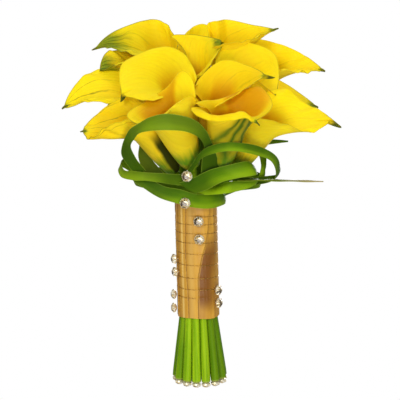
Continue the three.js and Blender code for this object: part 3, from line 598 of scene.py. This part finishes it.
def leaf_material():
    g = Graph("leaf")
    across, along = g.uv("grain")
    side, olive = g.uv("side")
    dry_share, place = g.uv("end")
    light, low = g.uv("tone")
    here = g.position()
    fine = g.grain(across * 16.0, along * 0.05)
    blotch = g.noise(here, 30.0, 3.0)
    cloud = g.noise(here, 24.0, 1.0)
    lines = abs(g.sine(across * 34.0 + fine))
    colour = g.paint(g.mix(light, (0.072, 0.17, 0.002), (0.225, 0.385, 0.003)), {
        "light clouds": (cloud.step(0.52, 0.66) * 0.5, (0.26, 0.42, 0.004)),
        "dark clouds": (cloud.step(0.5, 0.38) * 0.65, (0.045, 0.105, 0.001)),
        "blotches": (blotch.step(0.4, 0.62) * 0.35, (0.105, 0.235, 0.002)),
        "pale grain": (fine.step(0.48, 0.78) * 0.3, (0.26, 0.43, 0.006)),
        # Painted light along the lower edge and painted shade along the upper edge
        "light lower edge": (across.step(0.1, -0.7) * 0.45, (0.33, 0.5, 0.008)),
        "dark upper edge": (across.step(-0.2, 0.8) * 0.68, (0.045, 0.11, 0.001)),
        "back": (side * 0.5, (0.15, 0.215, 0.01)),
        # Painted shade towards both ends of the leaf
        "dark ends": (abs(place - 0.5).step(0.12, 0.34) * 0.78, (0.04, 0.095, 0.002)),
        # Painted shade low down on the arches
        "dark low down": (low * 0.65, (0.035, 0.085, 0.001)),
        "olive": (olive * 0.85, (0.12, 0.16, 0.01)),
        "lines": (lines.step(0.45, 0.0) * 0.3, (0.045, 0.115, 0.002)),
        # Pale edges: partly the leaf's paler margin, partly a painted highlight where the edges catch the
        # light
        "pale edges": (abs(across).step(0.93, 0.985) * 0.55, (0.33, 0.44, 0.04)),
        "dry": ((dry_share + fine * 0.12).step(0.35, 1.0), (0.42, 0.36, 0.15)),
    })
    normal = g.bump(lines + fine * 1.5, 0.00016, 0.5)
    normal = g.bump(blotch, 0.0014, 0.4, normal)
    return g.finish(Base_Color=colour, Normal=normal, Roughness=0.42, Specular_IOR_Level=0.05,
                    Subsurface_Weight=0.08, Subsurface_Radius=(0.4, 1.0, 0.05), Subsurface_Scale=0.001)


def stem_material():
    g = Graph("stem")
    around, along = g.uv("grain")
    painted_shade = g.uv("painted_shade")[0]
    streak = g.grain(around * 9.0, along * 0.012)
    blotch = g.noise(g.position(), 32.0, 3.0)
    green = g.mix(streak.step(0.36, 0.66), (0.175, 0.345, 0.005), (0.36, 0.56, 0.01))
    colour = g.paint(green, {
        "blotches": (blotch.step(0.48, 0.75) * 0.4, (0.4, 0.58, 0.012)),
        # Painted shade, set stem by stem
        "painted_shade": (painted_shade * 0.85, (0.06, 0.15, 0.002)),
        "cut end": (along.step(1.6, 0.5) * 0.75, (0.3, 0.33, 0.06)),
    })
    return g.finish(Base_Color=colour, Normal=g.bump(streak, 0.0003, 0.4), Roughness=0.42,
                    Specular_IOR_Level=0.04, Subsurface_Weight=0.12, Subsurface_Radius=(0.5, 1.0, 0.05),
                    Subsurface_Scale=0.0015)


def ribbon_material():
    g = Graph("satin_ribbon")
    around, along = g.uv("grain")
    painted_shade, painted_crease_shade = g.uv("fold")
    painted_shine, wound = g.uv("painted_shine")
    weft = g.sine(along * (2 * math.pi / 0.42))
    warp = g.sine(around * (2 * math.pi / 0.36))
    streak = g.grain(around * 0.25, along * 0.03, 2.0, 0.4)
    cloud = g.noise(g.position(), 60.0)
    # How far a point lies from the wire's line; the dark line along it is painted shade in the groove
    off_wire = abs(g.math("FRACT", wound + 0.5) - 0.5)
    gold = g.mix(streak.step(0.3, 0.72), (0.56, 0.282, 0.028), (0.65, 0.35, 0.04))
    colour = g.paint(gold, {
        "clouds": (cloud.step(0.42, 0.7) * 0.25, (0.52, 0.24, 0.026)),
        # Painted shade of the pleats
        "painted_shade": (painted_shade * 0.92, (0.17, 0.052, 0.004)),
        # Painted highlight streaks of the satin
        "painted_shine": (painted_shine * 0.75, (0.86, 0.6, 0.19)),
        # Painted shade in the creases
        "creases": (painted_crease_shade * 0.75, (0.13, 0.045, 0.005)),
        # Painted shade in the groove under the wire
        "groove": (off_wire.step(0.075, 0.03) * 0.5, (0.13, 0.045, 0.005)),
    })
    normal = g.bump(weft * 0.5 + warp * 0.5, 0.00004, 0.25)
    normal = g.bump(streak, 0.0003, 0.12, normal)
    return g.finish(Base_Color=colour, Normal=normal, Roughness=0.4, Specular_IOR_Level=0.22,
                    Anisotropic=0.5)


def wire_material():
    g = Graph("gold_wire")
    worn = g.noise(g.position(), 900.0)
    colour = g.mix(worn.step(0.35, 0.7), (0.42, 0.22, 0.045), (0.75, 0.48, 0.12))
    rough = g.node("ShaderNodeMapRange", {0: worn, 3: 0.32, 4: 0.5})
    return g.finish(Base_Color=colour, Metallic=1.0, Roughness=rough, Normal=g.bump(worn, 0.00004, 0.3))


def binding_material():
    g = Graph("floral_tape")
    around, along = g.uv("grain")
    crepe = g.grain(around * 0.5, along * 2.4, 4.0)
    colour = g.mix(crepe.step(0.3, 0.7), (0.045, 0.095, 0.018), (0.11, 0.18, 0.035))
    return g.finish(Base_Color=colour, Roughness=0.75, Normal=g.bump(crepe, 0.0003, 0.6))


def crystal_material():
    g = Graph("crystal")
    painted_flash = g.uv("facet")[0]
    haze = g.noise(g.position(), 700.0, 1.0)
    # The facets' colours are painted reflections: dark, gold and, on the brightest, a white painted flash
    colour = g.paint(g.mix(painted_flash.step(0.3, 0.55), (0.045, 0.026, 0.01), (0.64, 0.47, 0.2)), {
        "painted_flash": (painted_flash.step(0.58, 0.8), (0.95, 0.92, 0.79)),
        "haze": (haze.step(0.5, 0.8) * 0.3, (0.72, 0.62, 0.42)),
    })
    return g.finish(Base_Color=colour, Roughness=0.08, IOR=1.5, Specular_IOR_Level=0.45, Metallic=0.15,
                    Coat_Weight=0.2, Coat_Roughness=0.03)


def cup_material():
    g = Graph("setting_metal")
    worn = g.noise(g.position(), 1200.0)
    colour = g.mix(worn.step(0.3, 0.7), (0.8, 0.68, 0.42), (0.96, 0.91, 0.75))
    return g.finish(Base_Color=colour, Metallic=0.7, Roughness=0.38, Normal=g.bump(worn, 0.00005, 0.3))


def spadix_material():
    g = Graph("spadix")
    around, along = g.uv("grain")
    inputs = {"Vector": g.vector(around * 20.0, along), "Scale": 1.0}
    cells = g.node("ShaderNodeTexVoronoi", inputs, "Distance")
    colour = g.mix(cells.step(0.1, 0.7), (0.86, 0.52, 0.03), (0.55, 0.24, 0.008))
    return g.finish(Base_Color=colour, Roughness=0.6, Normal=g.bump(cells, -0.0006, 0.7))


def tail_share(rib):
    """How much of the tail's length a rib carries: all of it at the tip, and none past the tail's root."""
    return np.maximum(0, 1 - np.abs(rib - TIP) / TAIL_WIDTH) ** 9


def spathe_grid(bloom, columns=100, rows=52):
    """The mid surface of a spathe, and each point's place on it as (rib, height)."""
    base, throat, rim, mouth, turn = (bloom[key] for key in ("base", "throat", "rim", "mouth", "turn"))

    # Places on the blade, closer together near the tip and on the limb
    spread = np.linspace(-1, 1, columns)
    ribs = TIP + TIP * np.sign(spread) * np.abs(spread) ** 1.5
    heights = np.interp(np.linspace(0, 1, rows), [0, 0.35, 1], [0, 0.5, 1])
    rib, height = np.meshgrid(ribs, heights, indexing="ij")
    passes = SEAM[0] + (SEAM[1] - SEAM[0]) * np.maximum(0, 2 * height - 1)
    rib = TIP + (rib - TIP) * (TIP + passes) / TIP
    off_tip = np.abs(rib - TIP)

    # The tube, whose ribs turn a part of the way towards their places on the rim
    axis = throat - base
    length = np.linalg.norm(axis)
    axis /= length
    front = rim[len(rim) // 2] - throat
    front = unit(front - axis * front.dot(axis))
    side = np.cross(axis, front)
    to_rim = rim - throat
    even = (np.arange(len(rim)) * ROUND / len(rim) - TIP) * 2 * math.pi / ROUND
    stray = np.arctan2(turn * (to_rim @ side), to_rim @ front) - even
    stray = np.arctan2(np.sin(stray), np.cos(stray))
    lean = RIB_LEAN * catmull(stray[:, None], rib, True)[..., 0]
    angle = turn * ((rib - TIP) * 2 * math.pi / ROUND + lean)
    radial = np.cos(angle)[..., None] * front + np.sin(angle)[..., None] * side
    widening = mouth - TUBE_BASE_RADIUS
    share = np.minimum(2 * height, 1)[..., None]
    tube = base + axis * length * share + radial * (TUBE_BASE_RADIUS + widening * share ** TUBE_FULLNESS)

    # The limb, a curve from the tube's mouth to the rim, with the tail at its tip
    lifts = np.broadcast_to(np.asarray(bloom["lift"], float), (ROUND,))
    lift = catmull(lifts[:, None], rib, True)
    target = catmull(rim, rib, True)
    reach = np.linalg.norm(target - tube, axis=-1, keepdims=True)
    rise = unit(axis * length + radial * widening * TUBE_FULLNESS)
    crest = (tube + target) / 2 + axis * reach * lift
    q = np.maximum(2 * height - 1, 0)[..., None]
    limb = bezier(tube, tube + rise * LIMB_LEAVE * reach, target + (crest - target) * LIMB_ARRIVE, target, q)
    grid = np.where(height[..., None] <= 0.5, tube, limb)
    drawn = tail_share(rib) * smoothstep(0.84, 1.0, height) ** 1.5
    grid = grid + drawn[..., None] * bloom["tail"]

    # The front lip's roll, the spiral of the margins, and the rim's curl and ruffles
    lip = smoothstep(3.3, 4.5, rib) * smoothstep(7.9, 7.0, rib)
    roll = np.sin(math.pi * np.clip((height - 0.7) / 0.3, 0, 1))
    grid[..., 2] += LIP_ROLLS.get(bloom["name"], 0.0) * lip * roll
    outward = turn * grid_normals(grid)
    spiral = SPIRAL[0] + (SPIRAL[1] - SPIRAL[0]) * share
    grid = grid + outward * spiral * ((rib - TIP) / TIP)[..., None]
    curl = MARGIN_CURL * np.clip((height - 0.88) / 0.12, 0, 1) ** 2
    phase = sum(bloom["base"])
    wave = 0.7 * np.sin(2.6 * rib + phase) * smoothstep(0.6, 1.0, height)
    sides = smoothstep(0.15, 0.9, off_tip) * smoothstep(3.9, 3.2, off_tip)
    ruffle = RUFFLES.get(bloom["name"], RUFFLE) * sides * smoothstep(0.72, 1.0, height)
    wave = wave + ruffle * (np.sin(9.3 * rib + phase) + 0.5 * np.sin(15.1 * rib))
    grid = grid + outward * (curl + wave)[..., None]
    if turn < 0:
        grid, rib, height = grid[::-1], rib[::-1], height[::-1]
    return grid, rib, height


def spathe_grain(grid, rib, fan=1.15, narrowest=0.012):
    """How far each point lies from the midrib towards the edge, and how far up the flattened blade."""
    lengths = np.linalg.norm(np.diff(grid, axis=1), axis=-1)
    climbed = np.concatenate([np.zeros((len(grid), 1)), np.cumsum(lengths, axis=1)], axis=1)
    climbed /= climbed[np.argmin(np.abs(rib[:, -1] - TIP)), -1]
    bearing = (rib - TIP) / TIP * fan
    x, y = climbed * np.sin(bearing), climbed * np.cos(bearing)
    across = np.zeros_like(x)
    for way in (-1, 1):
        rim = (rib[:, -1] - TIP) * way >= -1e-6
        edge_y, edge_x = y[rim, -1], np.abs(x[rim, -1])
        order = np.argsort(edge_y)
        edge_y, edge_x = edge_y[order], edge_x[order]
        width = np.interp(y, edge_y, edge_x)
        width = np.where(y < edge_y[0], y * math.tan(fan), width)
        across = np.where(x * way >= 0, x / np.maximum(width, narrowest), across)
    return np.clip(across, -1, 1), y


def petal(bloom, material):
    grid, rib, height = spathe_grid(bloom)
    vein, warmth, throat_shade_reach, green_reach, midrib = TONES[bloom["name"]]
    thickness = 0.85 - 0.3 * smoothstep(0.5, 0.95, height) - 0.2 * smoothstep(0.95, 1.0, height)
    steps = np.linalg.norm(np.diff(grid, axis=1), axis=-1)
    climbs = np.cumsum(steps[:, ::-1], axis=1)[:, ::-1]
    from_rim = np.concatenate([climbs, np.zeros((len(grid), 1))], axis=1)
    from_tip = np.linalg.norm(grid - bloom["rim"][len(bloom["rim"]) // 2], axis=-1)
    tail = tail_share(rib) * smoothstep(0.9, 1.0, height)
    uvs = {"grain": spathe_grain(grid, rib), "place": (rib / ROUND, height), "tone": (vein, warmth),
           "edge": (from_rim, from_tip), "green": (green_reach, midrib),
           "tail": (tail, SEAM_STAINS_AND_SHADES.get(bloom["name"], SEAM_STAIN_AND_SHADE)), "side": (1.0, throat_shade_reach)}
    return shell(f"petal_{bloom['name']}", f"spathe_{bloom['name']}", grid, thickness, uvs,
                 material, back_uvs={"side": (0.0, throat_shade_reach)})


def seat_of(slot):
    """The ring that a stem stands in, and its bearing there."""
    outer = slot < OUTER_RING["stems"]
    rule = OUTER_RING if outer else INNER_RING
    order = slot if outer else slot - OUTER_RING["stems"]
    return rule, math.radians(rule["phase"] + 360 * order / rule["stems"])


def bound_place(slot, height):
    """Where a stem runs in the handle at a height."""
    rule, angle = seat_of(slot)
    return around_handle(angle, rule["bound"], height)


def foot_place(slot):
    """Where a stem stands. The first stem of the inner ring stands in the middle."""
    if slot == OUTER_RING["stems"]:
        return np.zeros(3)
    rule, angle = seat_of(slot)
    crowded = angle + FOOT_CROWDING * math.sin(2 * angle)
    return np.array([rule["foot"] * math.cos(crowded), rule["foot"] * math.sin(crowded), 0])


def stalk(bloom, material, sides=20, bevel=0.25):
    low = bound_place(bloom["slot"], HANDLE_BOTTOM)
    high = bound_place(bloom["slot"], HANDLE_TOP)
    base = bloom["base"]
    axis = unit(bloom["throat"] - base)
    cut = foot_place(bloom["slot"]) + (0, 0, GEM_HEIGHT + 0.2)
    lower = cut + (low - cut) * np.linspace(0, 1, 12)[:, None]
    bound = low + (high - low) * np.linspace(0.08, 1, 8)[:, None]
    fan = np.linalg.norm(base - high) / 3
    leave = unit(np.array([high[0] - LEAN * HANDLE_TOP, high[1], STEM_RISE]))
    q = np.linspace(0.06, 1, 18)[:, None]
    upper = bezier(high, high + leave * fan, base - axis * fan, base + axis * 0.4, q)
    path = np.concatenate([lower, bound, upper])
    radii = np.interp(path[:, 2], [GEM_HEIGHT, HANDLE_BOTTOM], [FOOT_RADIUS, STEM_RADIUS])
    radii[0] -= bevel
    corners, faces, pairs = rod(path, radii, sides)
    pairs[:, 0] += bloom["slot"] * 3.7
    uvs = {"grain": pairs, "painted_shade": np.full(pairs.shape, STEM_PAINTED_SHADES.get(bloom["name"], STEM_PAINTED_SHADE))}
    return mesh_piece(f"stalk_{bloom['name']}", f"stem_{bloom['name']}", corners, faces, uvs,
                      [material])


def spadix(bloom, material, sides=22, bump=0.048):
    """A rounded rod up the tube, whose corners stand out and in by turns."""
    reach = (bloom["throat"] - bloom["base"]) * SPADIX_REACH
    share = np.concatenate([np.linspace(0.02, 0.86, 40), 1 - 0.14 * np.cos(np.linspace(0.1, 1.5, 9))])
    radius = SPADIX_RADIUS * np.sqrt(np.clip(1 - (np.clip(share - 0.78, 0, 1) / 0.225) ** 2, 0.003, 1))
    checks = 1 - 2 * ((np.arange(sides) + np.arange(len(share))[:, None]) % 2)
    path = bloom["base"] + reach * share[:, None]
    corners, faces, pairs = rod(path, radius[:, None] * (1 + bump * checks), sides)
    return mesh_piece(f"spadix_{bloom['name']}", f"stem_{bloom['name']}", corners, faces,
                      {"grain": pairs}, [material], smooth=80)


def strap(name, lower, upper, material):
    """A leaf between its two edges, bowed a little across its width."""
    count = len(lower) - 1
    places = np.linspace(0, count, 22 * count + 1)
    lower, upper = catmull(lower, places), catmull(upper, places)
    share = np.linspace(0, 1, 13)
    across = 2 * share - 1
    grid = lower[:, None] + (upper - lower)[:, None] * share[:, None]
    width = np.linalg.norm(upper - lower, axis=1)[:, None]
    length = run_lengths((lower + upper) / 2)[:, None]
    bow = 0.055 * width * (1 - across ** 2) + 0.25 * np.sin(length * 0.21) * across
    grid = grid + grid_normals(grid) * bow[..., None]
    place = length / length[-1]
    dry = np.interp(place, [0, 1], DRY.get(name, (0.0, 0.0)))
    olive = OLIVE.get(name, 0.0)
    # How far below its top a point of an arch leaf lies, for the painted shade low down
    low = smoothstep(8, 34, grid[..., 2].max() - grid[..., 2]) * name.startswith("arch")
    uvs = {"grain": (across, length), "side": (0.0, olive), "end": (dry, place),
           "tone": (LEAF_LIGHTS.get(name, LEAF_LIGHT), low)}
    thickness = 0.75 - 0.4 * np.abs(across) ** 3
    return shell(f"strap_{name}", f"leaf_{name}", grid, thickness, uvs, material,
                 back_uvs={"side": (1.0, olive)})


def ribbon_folds(angle, height):
    """How far the ribbon stands out at each place, its painted shade, the painted shade of the crease at a
    pleat and its painted shine.
    """
    swing = np.interp(height, PLEAT_HEIGHTS, FRONT_PLEAT)
    pleats = np.stack([swing if fixed is None else fixed + 3 * np.sin(height * 0.045 + fixed)
                       for fixed in PLEATS], -1)
    since = ((angle[..., None] - pleats) % 360).min(-1)
    until = (-(angle[..., None] - pleats) % 360).min(-1)
    share = since / np.maximum(since + until, 1e-6)
    raised = 0.75 * share ** 1.6
    fade = smoothstep(69, 90, height) * smoothstep(164, 130, height)
    past = (angle - swing) % 360
    # Painted shade: darker just past each pleat, and a band beyond the front pleat where the ribbon turns
    # from the light
    painted_shade = np.maximum(smoothstep(1.0, 0.0, share) * 0.36,
                       smoothstep(1.0, 6.0, past) * smoothstep(80, 24, past) * fade)
    # Painted shade in the crease at each pleat
    painted_crease_shade = np.exp(-(since / 1.6) ** 2) + 0.35 * np.exp(-(until / 1.2) ** 2)
    painted_shine = np.zeros_like(angle)
    for centre, width, strength in PAINTED_SHINES:
        off = (angle - centre + 180) % 360 - 180
        painted_shine = np.maximum(painted_shine, strength * np.exp(-(off / width) ** 2))
    return raised, painted_shade, np.clip(painted_crease_shade, 0, 1), painted_shine


def wire_height(turns):
    """The wire's height after some turns from the front of its top turn. It drops mostly at the back."""
    whole = np.round(turns)
    past = turns - whole
    dropped = whole + 0.25 * past + 0.375 * np.sign(past) * smoothstep(0.2, 0.5, np.abs(past))
    return np.interp(dropped, np.arange(len(WIRE_FRONTS)), WIRE_FRONTS)


def ribbon(material):
    """The pleated sleeve, drawn in a little under each turn of the wire."""
    angles = np.linspace(-180, 180, 301)[:-1]
    heights = np.linspace(HANDLE_BOTTOM, HANDLE_TOP, 130)
    angle, height = np.meshgrid(angles, heights, indexing="ij")
    raised, painted_shade, painted_crease_shade, painted_shine = ribbon_folds(angle, height)
    turn = (angle + 90) / 360
    nearest = np.full(angle.shape, 99.0)
    for k in range(-1, len(WIRE_FRONTS) + 1):
        nearest = np.minimum(nearest, np.abs(height - wire_height(k + turn)))
    a = np.radians(angle)
    gathers = 0.1 * np.sin(a * 37 + height * 0.05) * np.exp(-(nearest / 3.5) ** 2)
    radius = SLEEVE_RADIUS - 0.35 + raised - 0.3 * np.exp(-(nearest / 1.5) ** 2) + gathers
    hem = np.where(height < 72, 0.5 * np.sin(a * 3 + 1.0) * (72 - height) / 3, 0)
    counted = np.linspace(-1.0, len(WIRE_FRONTS), 2000)
    wound = np.interp(-height, -wire_height(counted), counted) - turn
    bare = (height > WIRE_FRONTS[0] + 2) | (height < WIRE_FRONTS[-1] - 1)
    uvs = {"grain": (a * SLEEVE_RADIUS, height), "fold": (painted_shade, painted_crease_shade),
           "painted_shine": (painted_shine, np.where(bare, 0.5, wound))}
    grid = around_handle(a, radius, height + hem)
    return shell("satin_ribbon", "ribbon_sleeve", grid, 0.45, uvs, material, wrap=True)


def binding(material):
    angles = np.radians(np.linspace(-180, 180, 97)[:-1])
    heights = np.linspace(HANDLE_BOTTOM + 0.4, HANDLE_TOP - 0.4, 30)
    a, z = np.meshgrid(angles, heights, indexing="ij")
    grid = around_handle(a, BINDING_RADIUS + 0.06 * np.sin(a * 17 + z), z)
    uvs = {"grain": (a * BINDING_RADIUS, z)}
    return shell("floral_tape", "stem_binding", grid, 0.3, uvs, material, wrap=True)


def gold_wire(material):
    turns = np.linspace(0, len(WIRE_FRONTS) - 1.02, 560)
    angle = -90 + 360 * turns
    z = wire_height(turns)
    raised = ribbon_folds((angle + 180) % 360 - 180, z)[0]
    radius = SLEEVE_RADIUS + 0.02 + 0.9 * raised + 0.06 * np.sin(turns * 29)
    path = around_handle(np.radians(angle), radius, z)
    corners, faces, pairs = rod(path, np.full(len(path), WIRE_RADIUS), 7)
    return mesh_piece("wound_wire", "gold_wire", corners, faces, {"grain": pairs}, [material],
                      smooth=180)


def crystal(name, node, centre, direction, cut, shaft, materials):
    """A faceted stone in a metal cup on a shaft, facing along a direction. Its girdle is about centre."""
    radius, crown, pavilion, painted_flash = cut.values()
    direction = unit(np.array(direction, float))
    across = unit(np.cross(direction, (0.2, 0.1, 1.0) if abs(direction[2]) < 0.9 else (1.0, 0.1, 0.0)))
    third = np.cross(direction, across)
    corners, faces, kinds, painted_flashes = [], [], [], []

    def sideways(turns):
        return across * math.cos(2 * math.pi * turns) + third * math.sin(2 * math.pi * turns)

    def ring(count, r, height, turned=0.0):
        first = len(corners)
        for k in range(count):
            corners.append(centre + sideways((k + turned) / count) * r + direction * height)
        return list(range(first, first + count))

    def add(face, kind, painted_brightness=0.5):
        faces.append(face)
        kinds.append(kind)
        painted_flashes.append(painted_brightness)

    # The stone, with a table in three parts, and sides whose painted light is brighter towards the front
    # right and varies by chance
    draw = np.random.default_rng(sum(map(ord, name)))
    table = ring(8, 0.56 * radius, crown)
    shoulder = ring(8, 0.82 * radius, 0.55 * crown, 0.5)
    girdle = ring(16, radius, 0.0)
    add(tuple(table[:4]), 0, painted_flash - 0.3)
    add((table[0], table[3], table[4], table[7]), 0, painted_flash)
    add(tuple(table[4:]), 0, painted_flash + 0.3)
    for k in range(8):
        peak, left, right = shoulder[k], table[k], table[(k + 1) % 8]
        foot = [girdle[(2 * k + i) % 16] for i in range(3)]
        out = unit(corners[peak] - centre - direction * 0.55 * crown)
        painted_light = 0.42 + 0.3 * (0.8 * out[0] - 0.6 * out[1])
        for face in ((left, peak, right), (peak, foot[2], right), (peak, left, foot[0]),
                     (peak, foot[0], foot[1]), (peak, foot[1], foot[2])):
            add(face, 0, painted_light + 0.5 * (draw.random() - 0.4))

    # The cup and its shaft, and the claws that hold the stone
    cup = [girdle, ring(16, 1.04 * radius, -0.02 * radius), ring(16, 0.86 * radius, -0.55 * pavilion),
           ring(16, 0.42 * radius, -pavilion), ring(16, 0.6, -pavilion - 0.01),
           ring(16, 0.45, -pavilion - max(shaft, 0.05))]
    for upper, lower in zip(cup, cup[1:]):
        for k in range(16):
            n = (k + 1) % 16
            add((upper[k], lower[k], lower[n], upper[n]), 1)
    add(tuple(reversed(cup[-1])), 1)
    for k in range(CLAWS):
        out = sideways(k / CLAWS) * radius
        path = np.array([centre + out * 1.02 - direction * 0.3 * pavilion,
                         centre + out * 1.06 + direction * 0.15 * crown,
                         centre + out * 0.8 + direction * 0.62 * crown])
        claw, claw_faces, _ = rod(path, np.array([0.42, 0.42, 0.3]) * radius / 4.6, 6)
        first = len(corners)
        corners.extend(claw)
        for face in claw_faces:
            add(tuple(first + v for v in face), 1)
    piece = mesh_piece(name, node, corners, faces, {}, materials, smooth=20, face_materials=kinds)
    # Each face's painted brightness goes to the facet layer
    values = []
    for polygon, painted_brightness in zip(piece.data.polygons, painted_flashes):
        values += [painted_brightness, 0.5] * polygon.loop_total
    piece.data.uv_layers.new(name="facet").data.foreach_set("uv", values)


def crystals(materials):
    for i, (height, degrees) in enumerate(HANDLE_PINS):
        a = math.radians(degrees)
        out = np.array([math.cos(a), math.sin(a), 0.0])
        centre = np.array([LEAN * height, 0, height]) + out * (PIN_STANDOFF + 0.52 * PIN_DEPTH)
        crystal(f"handle_crystal_{i + 1}", f"pin_handle_{i + 1}", centre, out, HANDLE_STONE, HANDLE_SHAFT,
                materials)
    for i, (back, shaft) in enumerate(LEAF_PINS):
        out = np.array([0.0, -1.0, 0.0])
        centre = np.array(back, float) + out * 0.52 * PIN_DEPTH
        crystal(f"leaf_crystal_{i + 1}", f"pin_leaf_{i + 1}", centre, out, LEAF_STONE, shaft, materials)
    for bloom in BLOOMS:
        centre = foot_place(bloom["slot"]) + (0, 0, FOOT_STONE["crown"])
        crystal(f"foot_crystal_{bloom['name']}", f"stem_{bloom['name']}", centre, (0, 0, -1), FOOT_STONE, 0,
                materials)


def aimed(ahead):
    """The rotation of a lamp or a camera that looks along a direction."""
    return Vector(ahead).to_track_quat("-Z", "Y").to_euler()


def studio():
    scene = bpy.context.scene
    scene.view_settings.view_transform = "Standard"
    world = bpy.data.worlds.new("studio")
    world.use_nodes = True
    nodes, links = world.node_tree.nodes, world.node_tree.links
    background = nodes["Background"]
    background.inputs[0].default_value = (1, 1, 1, 1)
    seen = nodes.new("ShaderNodeLightPath")
    strength = nodes.new("ShaderNodeMapRange")
    links.new(seen.outputs["Is Camera Ray"], strength.inputs[0])
    strength.inputs[3].default_value = WORLD_LIGHT
    strength.inputs[4].default_value = 1.0
    links.new(strength.outputs[0], background.inputs[1])
    scene.world = world

    def lamp(name, place, size, power):
        light = bpy.data.lights.new(name, "AREA")
        light.shape = "DISK"
        light.size = size
        light.energy = power
        obj = bpy.data.objects.new(name, light)
        obj.location = place
        obj.rotation_euler = aimed(np.array(LAMP_TARGET) - np.array(place))
        scene.collection.objects.link(obj)

    lamp("key", (-0.6, -1.45, 0.95), 0.6, 10)
    lamp("front", (0.3, -1.6, -0.05), 0.9, 15)
    lamp("top", (-0.1, 0.2, 1.7), 0.9, 7)
    lamp("back", (0.5, 1.5, 0.35), 0.9, 18)

    target = np.array(CAMERA_TARGET)
    tilt = math.radians(CAMERA_ELEVATION)
    place = target + CAMERA_DISTANCE * np.array([0, -math.cos(tilt), math.sin(tilt)])
    lens = bpy.data.cameras.new("camera")
    lens.sensor_width = CAMERA_SENSOR
    lens.lens = CAMERA_LENS
    camera = bpy.data.objects.new("camera", lens)
    camera.location = place
    camera.rotation_euler = aimed(target - place)
    scene.collection.objects.link(camera)
    scene.camera = camera


for bloom in BLOOMS:
    for key in ("base", "throat", "tail", "rim"):
        bloom[key] = np.array(bloom[key], float)
petal_look, stem_look, leaf_look = petal_material(), stem_material(), leaf_material()
spadix_look = spadix_material()
for bloom in BLOOMS:
    petal(bloom, petal_look)
    stalk(bloom, stem_look)
    spadix(bloom, spadix_look)
for name, (lower, upper) in LEAVES.items():
    strap(name, lower, upper, leaf_look)
sleeve = ribbon(ribbon_material())
tape = binding(binding_material())
gold_wire(wire_material())
crystals([crystal_material(), cup_material()])
studio()
